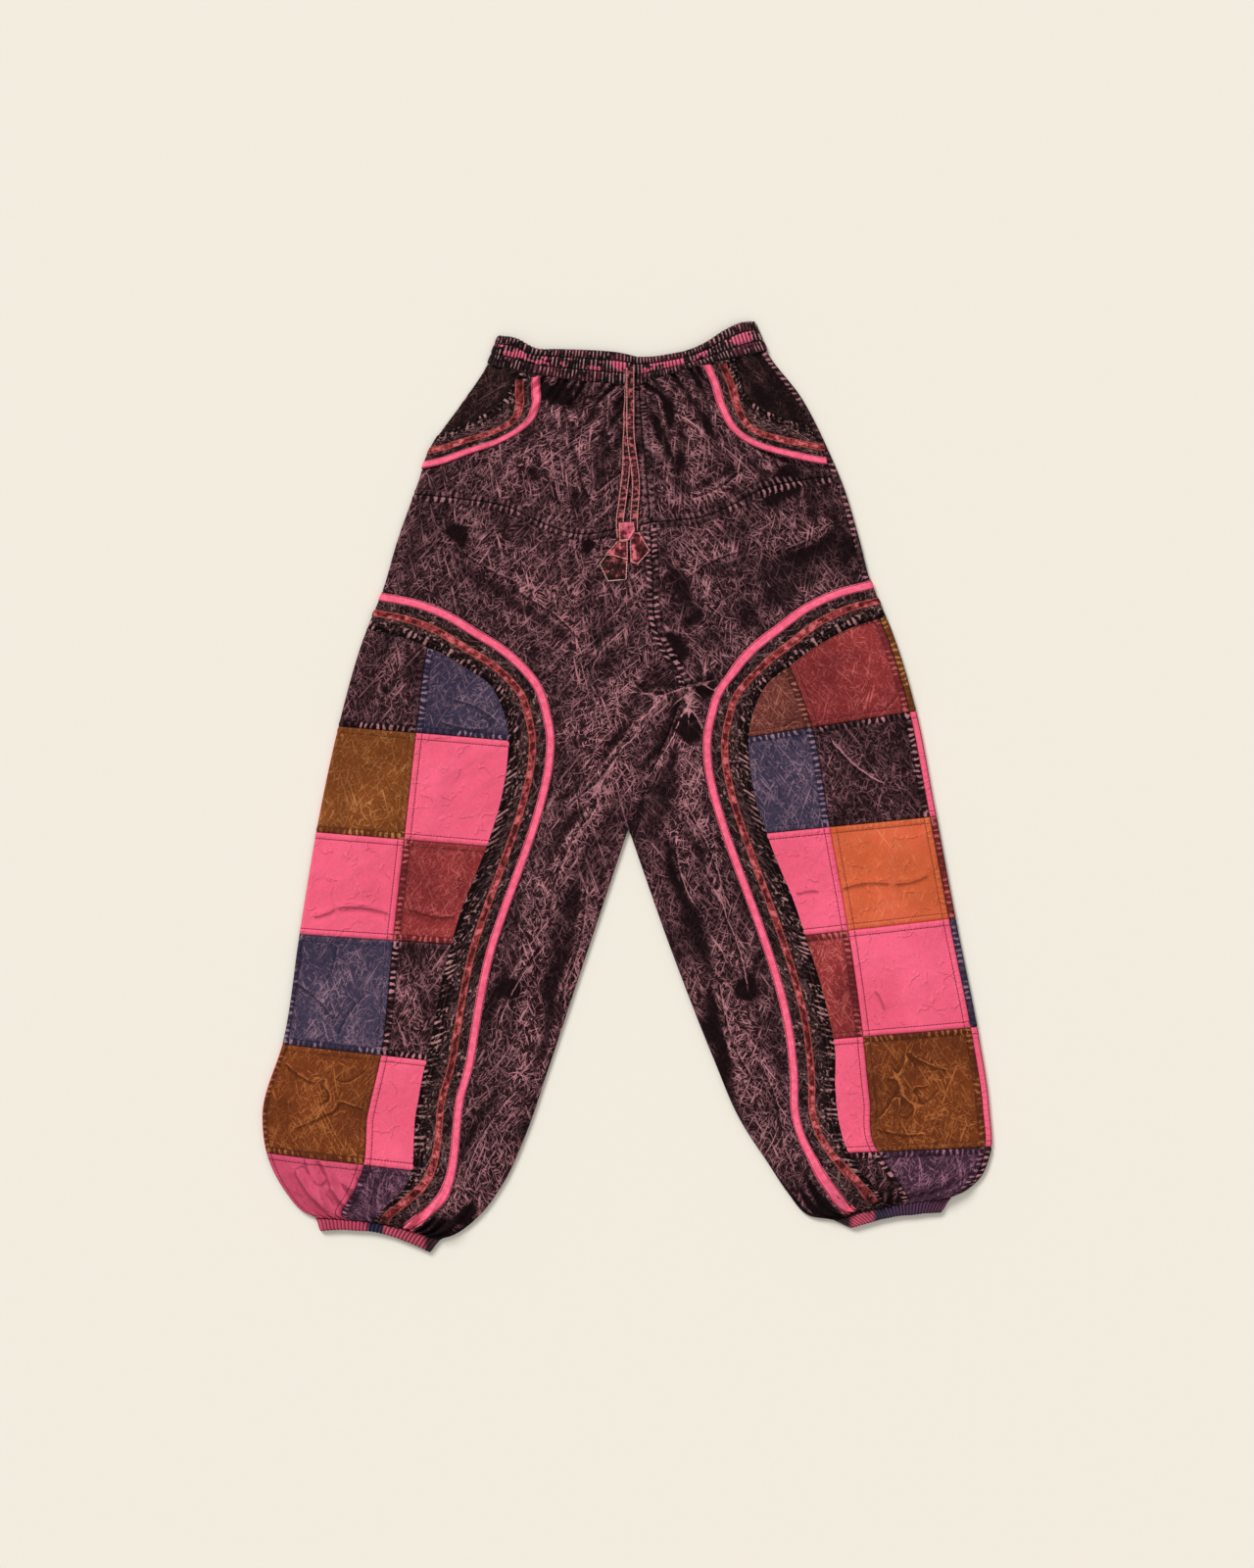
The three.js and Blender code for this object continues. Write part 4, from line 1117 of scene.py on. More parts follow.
# A grid, and the row and column of each of its points
def gridMesh(name, columns, rows):
    bm = bmesh.new()
    bmesh.ops.create_grid(bm, x_segments=columns, y_segments=rows, size=0.5)
    mesh = bpy.data.meshes.new(name)
    bm.to_mesh(mesh)
    bm.free()
    points = meshPoints(mesh)
    column = numpy.rint((points[:, 0] + 0.5) * columns).astype(int)
    row = numpy.rint((0.5 - points[:, 1]) * rows).astype(int)
    return mesh, (row, column)


def setPoints(mesh, points):
    mesh.vertices.foreach_set("co", (points * mm).reshape(-1))
    mesh.update()


def setMap(mesh, name, u, v):
    layer = mesh.uv_layers.new(name=name)
    corners = numpy.empty(len(mesh.loops), int)
    mesh.loops.foreach_get("vertex_index", corners)
    values = numpy.stack([u[corners], v[corners]], -1).reshape(-1)
    layer.data.foreach_set("uv", values)


def setValue(mesh, name, values):
    layer = mesh.attributes.new(name=name, type="FLOAT", domain="POINT")
    layer.data.foreach_set("value", numpy.asarray(values, numpy.float32).reshape(-1))


def finishMesh(mesh, flip):
    mesh.polygons.foreach_set("use_smooth", numpy.ones(len(mesh.polygons), bool))
    if flip:
        mesh.flip_normals()
    mesh.update()


def addPiece(name, mesh, cloth, node=None, wall=walls["panel"]):
    piece = bpy.data.objects.new(name, mesh)
    bpy.context.scene.collection.objects.link(piece)
    mesh.materials.append(clothMaterials[cloth])
    if wall:
        solid = piece.modifiers.new("clothWall", "SOLIDIFY")
        solid.thickness = wall * mm
        solid.offset = -1
    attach(piece, "root")
    if node:
        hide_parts(node)
    return piece


# The area in square metres of a grid of points in millimetres
def gridArea(points):
    corner = points[:-1, :-1]
    sides = numpy.cross(points[1:, :-1] - corner, points[:-1, 1:] - corner)
    return numpy.linalg.norm(sides, axis=-1).sum() * mm * mm


# The width, length and area of a piece as it was cut, in metres, from its places on the cloth
def cutSize(f, v, points):
    wide = max((f[:, -1] - f[:, 0]).max() * mm, cutLimits["narrowest"])
    long = max((v.max() - v.min()) * mm, cutLimits["narrowest"])
    area = min(gridArea(points), wide * long)
    if area < cutLimits["leastShare"] * wide * long:
        wide = area / (cutLimits["shareOfPoint"] * long)
    return (wide, long), area


# The rows and columns of a panel, as places across and down the cloth
def panelPlaces(half, layer, top, bottom, start, end, shift, extraRows):
    steps = edgeSteps[layer]
    sample = numpy.linspace(top, bottom, 12)
    wide = numpy.max(end(sample) - start(sample))
    inner = max(3, int((wide - 2 * steps[-1]) / spacing[layer]))
    innerRows = max(3, int((bottom - top - 2 * steps[-1]) / spacing[layer]))
    base = top + spread(bottom - top, innerRows, steps)
    if len(extraRows):
        base = numpy.unique(numpy.concatenate([base, extraRows]))
        base = base[(base >= top) & (base <= bottom)]

    def placeAt(rowPlaces):
        first = start(rowPlaces)
        width = numpy.maximum(end(rowPlaces) - first, 0.4)
        return first[..., None] + spread(width, inner, steps)

    f = placeAt(base)
    v = numpy.broadcast_to(base[:, None], f.shape).copy()
    if shift is not None:
        for _ in range(2):
            v = base[:, None] + shift(half, f, base[:, None])
            f = numpy.stack([placeAt(v[:, k])[:, k] for k in range(f.shape[1])], 1)
    return f, v


# The distances to the sewn edges at the sides and at the rows, and how thick the seam is there.
# An edge is named by a letter: start, end, centre seam, top or bottom.
def seamFields(half, f, v, seams):
    sideAway = numpy.full(f.shape, noSeam)
    rowAway = numpy.full(f.shape, noSeam)
    rope = numpy.zeros(f.shape)
    toEnd = f[:, -1:] - f
    toCentre = numpy.where(v < half["crotch"] + 5, toEnd, noSeam)
    edges = {"s": f - f[:, :1], "e": toEnd, "c": toCentre, "t": v - v[:1], "b": v[-1:] - v}
    for letter, share in seams.items():
        away = edges[letter]
        if letter in "sec":
            sideAway = numpy.minimum(sideAway, away)
        else:
            rowAway = numpy.minimum(rowAway, away)
        rope = numpy.maximum(rope, share * (1 - smooth(away, 8.5, 10.5)))
    return sideAway, rowAway, rope


# The value the front cloth's colour reads: rubbed wear on the crests; painted shade in the hollows, on
# the leg turned from the light and toward the cuffs; and darker at the listed dark spots
def frontWearAndShade(half, cloth, isPatch, f, v, loose, depth):
    middle = wearAndShading["middle"]
    side = half["side"]
    wear = middle + 0.5 * numpy.tanh((loose - relief["air"] * depth) / wearAndShading["crestHeight"])
    wear = wear + (middle - wear) * (1 - smooth(f, 2, 30))
    if isPatch:
        wear = middle + wearAndShading["patchSwing"] * (wear - middle)
        wear = wear - (wearAndShading["charcoalPatch"] if cloth == "charcoal" else 0)
    else:
        # The leg turned from the light is darkened all over, as painted shade
        wear = middle + wearAndShading["legSwing"] * (wear - middle) - wearAndShading["turnedFromLight"][side]
    # Painted shade on the inner part of the leg toward the cuff
    end = half["legEnd"]
    low = smooth(v, end - 120, end - 25) * smooth(f / widthAt(half, v), 0.3, 0.6)
    wear = wear - wearAndShading["cuffShade"][side] * low
    # Charcoal is darkened at the listed dark spots
    if cloth == "charcoal":
        wear = wear * (1 - darkSpotShare(*flatPoint(half, "front", f, v)))
    return wear


# How far each panel's pattern is moved along the cloth, in metres, so that no two look alike
mapMove = {
    ("left", "front"): 0.0,
    ("right", "front"): 3.7,
    ("left", "back"): 7.3,
    ("right", "back"): 11.9,
}


def makePanel(name, cloth, half, layer, top, bottom, start, end, seams, node,
              shift=None, drop=0.0, extraRows=(), restsOn=(), depth=1.0):
    f, v = panelPlaces(half, layer, top, bottom, start, end, shift, extraRows)
    sideAway, rowAway, rope = seamFields(half, f, v, seams)
    puff = edgeShape("panel", numpy.minimum(sideAway, rowAway))
    _, crestAway, crestNear, crestPale = creaseFields(*flatPoint(half, layer, f, v))
    if layer == "front":
        loose = looseRelief(half, f, v) * depth
        wear = frontWearAndShade(half, cloth, name.startswith("patch"), f, v, loose, depth)
        lift = frontRelief(half, f, v) * depth + puff - drop
    else:
        crestAway, crestNear = 0 * crestAway, 0 * crestNear
        wear = numpy.full(f.shape, wearAndShading["middle"])
        lift = backRelief(half, f, v) - 0.5 + numpy.minimum(puff * 0.6, 0) - drop
        turned = numpy.where(f < midFold, puff - 0.3, 0) * (1 - smooth(f, -6, 0))
        lift = lift * smooth(f, -4, 6) + turned
    flat, area = cutSize(f, v, onCloth(half, layer, f, v, 0))
    mesh, at = gridMesh(name, f.shape[1] - 1, f.shape[0] - 1)
    setPoints(mesh, onCloth(half, layer, f, v, lift)[at])
    move = mapMove[(half["side"], layer)]
    setMap(mesh, "clothMap", (f * mm + move)[at], (v * mm)[at])
    setMap(mesh, "seamMap", (sideAway * mm)[at], (rowAway * mm)[at])
    setMap(mesh, "creaseMap", crestAway[at], crestNear[at])
    setValue(mesh, "crest", crestPale[at])
    setValue(mesh, "rope", rope[at])
    setValue(mesh, "wear", wear[at])
    finishMesh(mesh, (half["side"] == "right") != (layer == "back"))
    piece = addPiece(name, mesh, cloth, node)


# A strip between two edges, such as a band or tape. across and along are in millimetres.
def makeStrip(name, cloth, half, s, v, across, along, lift, node, wall):
    back = s < 0
    front = onCloth(half, "front", s + midFold, v, lift)
    behind = onCloth(half, "back", midFold - s, v, lift)
    points = numpy.where(back[..., None], behind, front)
    mesh, at = gridMesh(name, s.shape[1] - 1, s.shape[0] - 1)
    setPoints(mesh, points[at])
    wide = across.max(axis=1, keepdims=True)
    edge = numpy.minimum(across, wide - across)
    setMap(mesh, "clothMap", (across * mm + 1.3)[at], (along * mm)[at])
    setMap(mesh, "seamMap", (edge * mm)[at], numpy.full(len(at[0]), noSeam * mm))
    setMap(mesh, "creaseMap", numpy.zeros(len(at[0])), numpy.zeros(len(at[0])))
    setValue(mesh, "rope", numpy.where(across > wide * 0.5, 1, 0.25)[at])
    setValue(mesh, "wear", numpy.full(len(at[0]), wearAndShading["middle"]))
    first = points[1:, 0] - points[:-1, 0]
    over = points[:-1, -1] - points[:-1, 0]
    up = numpy.cross(over, -first)[:, 2]
    mostlyFront = ~back[:-1, 0]
    finishMesh(mesh, up[mostlyFront].sum() < 0 if mostlyFront.sum() > 5 else up.sum() > 0)
    piece = addPiece(name, mesh, cloth, node, wall)
    wide = max(across.max() * mm, cutLimits["narrowest"])


print("cloth tools ready")


# Drawstrings and their tabs

drawstring = {
    "width": 9.5,
    "height": 2.0,
    "around": 20,
    "stepLength": 3.0,
    "groovePlace": 3.4,
    "grooveDepth": 0.3,
}
routeColumns = "x y z"
stringRoutes = {
    "left": readTable(routeColumns, [
        (2, 451, 10.4), (2, 443, 10.3), (2, 434, 9.9), (1, 426, 8.6), (1, 416, 7.3), (0, 404, 7.1),
        (0, 388, 7.1), (-1, 370, 7.1), (-1, 352, 7.1), (-2, 336, 7.1), (-4, 319, 7.1),
        (-6, 303, 7.1), (-8, 289, 7.1), (-8, 278, 7.1), (-7, 267.5, 7.1),
    ]),
    "right": readTable(routeColumns, [
        (3, 450, 12.8), (3, 442, 12.7), (3, 433, 12.3), (3, 424, 11), (3, 414, 9.8), (3, 402, 9.5),
        (3, 386, 9.5), (4, 370, 9.5), (6, 354, 9.5), (8, 340, 9.3), (9, 329, 7.9), (9, 318, 7.2),
        (8, 304, 7.1), (7, 290, 7.1), (7, 275.5, 7.1),
    ]),
}
# Outlines of the folded tabs, of the flap folded over the left one, and of the top fold that
# holds both tapes
tabOutlines = {
    "left": [(-12, 265), (-31, 240), (-21.5, 220.5), (-0.5, 222.5), (0.5, 245), (-0.5, 266.5)],
    "right": [(3, 274.5), (2.2, 262), (2.8, 242), (11, 238.5), (25, 254), (13, 274)],
    "flap": [(-11, 264.5), (-26, 248.5), (-17, 248.8), (0.8, 243.4), (0.6, 266)],
    "knot": [(-9.6, 284), (6.8, 285), (8.4, 276), (1.5, 265), (-9, 264)],
}
tabs = {
    # base height, height, cloth
    "left": (5.9, 3.0, "darkTab"),
    "right": (5.9, 3.0, "tabTape"),
    "flap": (8.5, 1.5, "tabTape"),
    "knot": (8.0, 1.9, "knotTape"),
}
# The steps in from a tab's edge: to the sewn line, down into it and up again
tabInsets = [
    # width, rise
    (1.2, 0),
    (0.7, -0.5),
    (0.8, 0.4),
]
tabFinish = {"bevel": 0.5, "longestEdge": 6, "crumple": 1.1, "crumpleSize": 6}


def ofKind(items, kind):
    return [item for item in items if isinstance(item, kind)]


def makeTab(part):
    baseHeight, high, cloth = tabs[part]
    outline = tabOutlines[part]
    name = "drawstringTab" + part.title()
    bm = bmesh.new()
    face = bm.faces.new([bm.verts.new((x * mm, y * mm, baseHeight * mm)) for x, y in outline])
    bm.normal_update()
    if face.normal.z < 0:
        face.normal_flip()
    lower = bmesh.ops.extrude_face_region(bm, geom=[face])["geom"]
    bmesh.ops.translate(bm, verts=ofKind(lower, bmesh.types.BMVert), vec=(0, 0, high * mm))
    top = ofKind(lower, bmesh.types.BMFace)
    for width, rise in tabInsets:
        bmesh.ops.inset_region(bm, faces=top, thickness=width * mm, depth=rise * mm)
    bmesh.ops.recalc_face_normals(bm, faces=bm.faces)
    bmesh.ops.bevel(bm, geom=[edge for edge in bm.edges if edge.calc_face_angle(0) > 1.2],
                    offset=tabFinish["bevel"] * mm, affect="EDGES", segments=2, profile=0.5, material=-1)
    bmesh.ops.triangulate(bm, faces=[item for item in bm.faces if len(item.verts) > 4])
    longest = tabFinish["longestEdge"] * mm
    bmesh.ops.subdivide_edges(bm, edges=[edge for edge in bm.edges if edge.calc_length() > longest],
                              cuts=3, use_grid_fill=True)
    mesh = bpy.data.meshes.new(name)
    bm.to_mesh(mesh)
    bm.free()
    points = meshPoints(mesh) / mm
    raised = points[:, 2] > baseHeight + high / 2
    noise = softNoise(points[:, 0], points[:, 1], tabFinish["crumpleSize"], 83) - 0.5
    points[:, 2] += raised * tabFinish["crumple"] * noise
    setPoints(mesh, points)
    setMap(mesh, "clothMap", points[:, 0] * mm + 2.1, points[:, 1] * mm)
    corners = numpy.array(outline, float)
    away = numpy.full(len(points), noSeam)
    for a, b in zip(corners, numpy.roll(corners, -1, axis=0)):
        here = points[:, :2] - a
        share = numpy.clip(here @ (b - a) / ((b - a) @ (b - a)), 0, 1)
        away = numpy.minimum(away, numpy.linalg.norm(here - share[:, None] * (b - a), axis=1))
    setMap(mesh, "seamMap", away * mm, numpy.full(len(points), noSeam * mm))
    finishMesh(mesh, False)
    return addPiece(name, mesh, cloth, "tab_" + part if part in halves else None, 0)


def unit(vectors):
    return vectors / numpy.linalg.norm(vectors, axis=1, keepdims=True)


# A circle's wave pressed flat, for the rounded rectangle of a tape's section
def squared(wave, power):
    return numpy.sign(wave) * numpy.abs(wave) ** power


def makeDrawstring(side, tab):
    route = stringRoutes[side]
    rough = numpy.stack([route["x"], route["y"], route["z"]], -1)
    places = numpy.concatenate([[0], numpy.cumsum(numpy.linalg.norm(numpy.diff(rough, axis=0), axis=1))])
    count = int(places[-1] / drawstring["stepLength"]) + 1
    at = numpy.linspace(0, places[-1], count)
    none = numpy.zeros(len(places))
    path = numpy.stack([through(places, rough[:, k], none, at) for k in range(3)], -1)
    along = unit(numpy.gradient(path, axis=0))
    across = unit(numpy.cross(along, (0, 0, 1)))
    up = numpy.cross(across, along)
    half = drawstring["width"] / 2
    turn = numpy.linspace(0, 2 * math.pi, drawstring["around"] + 1)
    wide = squared(numpy.cos(turn), 0.35) * half
    high = squared(numpy.sin(turn), 0.7) * drawstring["height"] / 2
    groove = 1 - drawstring["grooveDepth"] * bell(numpy.abs(wide), drawstring["groovePlace"], 0.5)
    section = across[:, None] * wide[None, :, None] + up[:, None] * (high * groove)[None, :, None]
    mesh, (row, column) = gridMesh("drawstring" + side.title(), drawstring["around"], count - 1)
    setPoints(mesh, (path[:, None] + section)[row, column])
    setMap(mesh, "clothMap", (wide * mm + 5.2)[column], (at * mm)[row])
    edge = numpy.where(high > -0.2, half - numpy.abs(wide), 0.5)
    setMap(mesh, "seamMap", (edge * mm)[column], numpy.full(len(row), noSeam * mm))
    bm = bmesh.new()
    bm.from_mesh(mesh)
    bmesh.ops.remove_doubles(bm, verts=bm.verts, dist=0.01 * mm)
    bmesh.ops.holes_fill(bm, edges=[edge for edge in bm.edges if edge.is_boundary], sides=0)
    bmesh.ops.recalc_face_normals(bm, faces=bm.faces)
    bm.to_mesh(mesh)
    bm.free()
    finishMesh(mesh, False)
    piece = addPiece("drawstring" + side.title(), mesh, "stringTape", "drawstring_" + side, 0)


for side in halves:
    makeDrawstring(side, makeTab(side))
makeTab("flap")
makeTab("knot")
print("drawstrings ready")


# Back of the trousers

# Where the arch begins, in millimetres down the leg, and how far each piece reaches under a band
archTop = {"legs": 271, "patches": 312, "rowsStart": 270, "rowsMiddle": 290, "rowsEnd": 320}
underBand = {"leg": 4, "patch": 4, "backPatch": 2, "backColumn": 16}
crownSteps = {"front": (0.9, 2), "back": (1.2, 2.5)}


# Extra rows where the arch band turns over the side fold
def crownRows(layer):
    fine, coarse = crownSteps[layer]
    start, middle, end = archTop["rowsStart"], archTop["rowsMiddle"], archTop["rowsEnd"]
    return numpy.concatenate([numpy.arange(start, middle, fine), numpy.arange(middle, end, coarse)])


# The edge of a leg panel beside its arch band
def besideArch(first, shift=0):
    def place(v):
        reach = curveAt(archOuter, v) - shift - underBand["leg"]
        return numpy.where(v < archTop["legs"], first, numpy.maximum(first, reach))
    return place


def constant(value):
    return lambda v: numpy.full(numpy.shape(v), float(value))


def backStart(half):
    wrap = lap[half["side"]]
    return midFold if wrap == 0 else 2 * foldRadius - math.pi * foldRadius - wrap


def makeBack(half):
    side = half["side"]
    shift = 2 * lap[side]
    first = backStart(half)
    legEnd = half["legEnd"] - body["cuffGap"]
    legSeams = {"c": 0.4} if side == "left" else {"c": 0.4, "s": 0.8}
    makePanel("backLeg" + side.title(), "charcoal", half, "back", 0.2, legEnd, besideArch(first, shift),
              lambda v: innerEnd(half, v), legSeams, "back_leg_" + side, extraRows=crownRows("back"))

    def columnEdge(v):
        reach = columnSeamAt(side, v) + underBand["backColumn"]
        band = curveAt(archInner, v) - shift - underBand["backPatch"]
        return numpy.minimum(reach, numpy.maximum(band, foldRadius + 2))

    def bandEdge(v):
        return numpy.maximum(curveAt(archInner, v) - shift + underBand["patch"], foldRadius + 3)

    # How thick the cloth is turned under at each edge, by the letter of the edge
    outerSeams = {"t": 0.1, "b": 1, "e": 0.1}
    if lap[side]:
        outerSeams["s"] = 0.9
    innerSeams = {"t": 0.1, "b": 1, "s": 1}
    drop = body["underPatch"]["back"]
    seams = list(patchRows[side][:-1]) + [legEnd]
    for i in range(6):
        name = "backPatch" + side.title()
        top = seams[i] if i else archTop["patches"]
        node = None if i % 2 else "back_patches_%s_%d" % (side, i // 2 + 1)
        makePanel("%sOuter%d" % (name, i + 1), backCloth["outer"][i], half, "back", top, seams[i + 1],
                  constant(first), columnEdge, outerSeams, node, drop=drop)
        if i > 0:
            makePanel("%sInner%d" % (name, i + 1), backCloth["inner"][i], half, "back", top,
                      seams[i + 1], columnEdge, bandEdge, innerSeams, None, drop=drop)


for half in halves.values():
    makeBack(half)
print("back ready")


# Front of the trousers

pocketBag = {"top": 0.6, "left": 96, "right": 106, "underBand": 9, "drop": 1.7, "depth": 0.5}


def frontStart(half):
    return lap[half["side"]] or midFold


def makeFront(half):
    side = half["side"]
    cap = side.title()
    first = frontStart(half)
    legEnd = half["legEnd"] - body["cuffGap"]
    level = body["yokeLevel"]
    below = ["backLeg" + cap]
    turnedUp, turnedDown = (0.1, 1) if side == "left" else (1, 0.1)
    outerSeams = {"t": turnedUp, "b": turnedDown, "e": 0.1}
    innerSeams = {"t": turnedUp, "b": turnedDown, "s": 1}
    if lap[side]:
        outerSeams["s"] = 0.9

    def centre(v):
        return innerEnd(half, v)

    def mouth(v):
        return curveAt(pocketMouth[side], v) + pocketBag["underBand"]

    def besidePocket(v):
        return numpy.maximum(first, curveAt(pocketOuter[side], v) - underBand["leg"])

    def columnEdge(v):
        band = curveAt(archInner, v) + underBand["patch"]
        return numpy.minimum(columnSeamAt(side, v), numpy.maximum(band, first + 5))

    def bandEdge(v):
        return curveAt(archInner, v) + underBand["patch"]

    makePanel("pocketBag" + cap, "lining", half, "front", pocketBag["top"], pocketBag[side],
              constant(midFold + 1.2), mouth, {}, "pocket_bag_" + side, drop=pocketBag["drop"],
              restsOn=below, depth=pocketBag["depth"])
    makePanel("yoke" + cap, "charcoal", half, "front", 0.3, level - 0.1, besidePocket, centre,
              {"b": 0.45, "c": 0.35}, "yoke_" + side, shift=yokeShift, restsOn=below)
    makePanel("frontLeg" + cap, "charcoal", half, "front", level + 0.1, legEnd, besideArch(first),
              centre, {"t": 0.75, "c": 0.9}, "front_leg_" + side, shift=yokeShift,
              extraRows=crownRows("front"), restsOn=below)
    seams = list(patchRows[side][:-1]) + [legEnd]
    search = numpy.linspace(300, 400, 400)
    inside = curveAt(archInner, search) > columnSeamAt(side, search) + 2
    for i in range(6):
        tops = {"outer": seams[i], "inner": seams[i]}
        if i == 0:
            tops = {"outer": archTop["patches"], "inner": search[numpy.argmax(inside)]}
        sewn = {"outer": dict(outerSeams, s=0.9) if i > 2 else outerSeams, "inner": innerSeams}
        edges = {"outer": (constant(first), columnEdge), "inner": (columnEdge, bandEdge)}
        for column in ("outer", "inner"):
            makePanel("patch%s%s%d" % (cap, column.title(), i + 1), patchCloth[side][column][i], half,
                      "front", tops[column], seams[i + 1], *edges[column], sewn[column],
                      "patch_%s_%s_%d" % (side, column, i + 1), restsOn=below,
                      drop=body["underPatch"]["front"])


for half in halves.values():
    makeFront(half)
print("front ready")


# Bands and tapes

tapes = {
    "archPink": {"middle": 6.8, "width": 9.4},
    "archRust": {"middle": 25.5, "width": 8.4},
    "pocketPink": {"middle": 4.8, "width": 8.6},
    "pocketRust": {"middle": 20, "width": 9},
    "bandLift": 0.9,
    "tapeLift": 1.7,
    "backBandLift": -0.55,
    "backTapeLift": -0.05,
    "archSteps": 430,
    "pocketSteps": 110,
}
# Places across each, close together at the edges
bandColumns = [0, 0.8, 2, 4, 7, 10, 13, 16, 19, 22, 25, 28, 31, 34, 37, 40, 42, 43.6, 44.6, 45]
tapeColumns = [0, 0.35, 0.9, 1.6, 2.4, 3.4, 4.6, 5.8, 6.8, 7.6, 8.3, 8.85, 9.2]
pocketColumns = [
    0, 0.02, 0.06, 0.12, 0.2, 0.28, 0.36, 0.44, 0.52, 0.6, 0.68, 0.76, 0.84, 0.9, 0.95, 0.98, 1,
]


# A path with its points at even distances, and those distances
def evenPath(s, v, count):
    places = pathPlaces(s, v)
    at = numpy.linspace(0, 1, count) * places[-1]
    return numpy.interp(at, places, s), numpy.interp(at, places, v)


# The arch from the front cuff over the side fold to the back cuff, as s and v
def archPath(half, curve):
    away, down = smoothCurve(curve["away"], curve["down"], 400)
    keep = down < half["legEnd"] - 0.6
    away, down = away[keep], down[keep]
    shift = 2 * lap[half["side"]]
    frontS, backS = away - midFold, midFold + shift - away
    front = frontS > foldRadius - midFold
    back = backS < -(foldRadius - midFold)
    s = numpy.concatenate([frontS[front][::-1], [0], backS[back]])
    v = numpy.concatenate([down[front][::-1], [down[0]], down[back]])
    return evenPath(s, v, tapes["archSteps"])


def stripRelief(half, s, v):
    return frontRelief(half, s + midFold, v) * smooth(s, 0, 10)


def backLift(s, liftFront, liftBack):
    turn = smooth(s, -6, 2)
    return liftFront * turn + liftBack * (1 - turn)


def between(outer, inner, share):
    return outer[:, None] + (inner - outer)[:, None] * share


def makeArchBand(half):
    side = half["side"]
    outerS, outerV = archPath(half, archOuter)
    innerS, innerV = archPath(half, archInner)
    across = numpy.array(bandColumns)
    width = across[-1]
    s = between(outerS, innerS, across / width)
    v = between(outerV, innerV, across / width)
    along = pathPlaces(s[:, 10], v[:, 10])[:, None] + 0 * s
    puff = tapes["bandLift"] + edgeShape("band", numpy.minimum(across, width - across))
    lift = backLift(s, stripRelief(half, s, v) + puff, tapes["backBandLift"])
    isFront = s[:, 10] > 0
    for part, keep in (("front", isFront), ("back", ~isFront)):
        index = numpy.where(keep)[0]
        if part == "back":
            index = numpy.concatenate([[index[0] - 1], index])
        makeStrip("archBand%s%s" % (part.title(), side.title()), "stained_charcoal", half, s[index],
                  v[index], numpy.broadcast_to(across, s[index].shape), along[index], lift[index],
                  "arch_band_%s_%s" % (part, side), walls["strip"])


def makeTape(kind, colour, half, s, v):
    tape = tapes[kind + colour]
    side = half["side"]
    cross = numpy.array(tapeColumns) / tapeColumns[-1]
    over = (cross - 0.5) * tape["width"] + tape["middle"]
    ds, dv = numpy.gradient(s), numpy.gradient(v)
    size = numpy.hypot(ds, dv)
    nx, ny = dv / size, -ds / size
    turn = -1 if nx[0] * s[0] > 0 else 1
    stripS = s[:, None] + nx[:, None] * over * turn
    stripV = v[:, None] + ny[:, None] * over * turn
    away = numpy.minimum(cross, 1 - cross) * tape["width"]
    front = stripRelief(half, stripS, stripV) + (tapes["tapeLift"] + edgeShape("tape", away))
    lift = backLift(stripS, front, tapes["backTapeLift"] + edgeShape("backTape", away))
    along = pathPlaces(s, v)[:, None] + 0 * stripS
    across = numpy.broadcast_to(cross * tape["width"], stripS.shape)
    makeStrip(kind + colour + side.title(), colour.lower() + "Tape", half, stripS, stripV, across,
              along, lift, "%s_%s_%s" % (kind, colour.lower(), side), walls["tape"])


def pocketPath(half, curve):
    away, down = smoothCurve(curve["away"], curve["down"], 160)
    keep = (down > 0.5) & (away > frontStart(half) + 0.5)
    away, down = away[keep], down[keep]
    return evenPath(away - midFold, down + yokeShift(half, away, down), tapes["pocketSteps"])


def makePocket(half):
    side = half["side"]
    outerS, outerV = pocketPath(half, pocketOuter[side])
    innerS, innerV = pocketPath(half, pocketMouth[side])
    share = numpy.array(pocketColumns)
    s = between(outerS, innerS, share)
    v = between(outerV, innerV, share)
    wide = numpy.hypot(innerS - outerS, innerV - outerV)[:, None]
    across = share[None] * wide
    puff = edgeShape("pocketBand", numpy.minimum(across, wide - across))
    lift = stripRelief(half, s, v) + tapes["bandLift"] + puff
    along = pathPlaces(s[:, 8], v[:, 8])[:, None] + 0 * s
    makeStrip("pocketBand" + side.title(), "stained_charcoal", half, s, v, across, along, lift,
              "pocket_band_" + side, walls["strip"])
    for colour in ("Pink", "Rust"):
        makeTape("pocket", colour, half, outerS, outerV)


for half in halves.values():
    makeArchBand(half)
    makePocket(half)
    for colour in ("Pink", "Rust"):
        makeTape("arch", colour, half, *archPath(half, archOuter))
print("bands and tapes ready")


# Waist casing and cuffs

# How far the top edge of the casing waves below a straight line
waistWave = readTable("share left right", [
    (0, -1, 0), (0.13, -1.5, -3.5), (0.28, 6.5, -0.6), (0.43, 4, 6), (0.6, 1, 8.4),
    (0.72, -0.8, 7), (0.88, -1.8, 4), (1, 0, 0),
])
waist = {
    "gathers": 150,
    "leftShare": 38 / 72,   # the part of the front that lies left of the centre
    "columnsPerGather": 6,
    "rows": 22,
    "ridge": 2.3,
    "valley": 0.5,
    "backRidge": 0.9,
    "puff": 1.6,
    "seams": (0.27, 0.64),  # the two sewn rows, as parts of the height
    "flatSize": (0.9, 0.034),
}
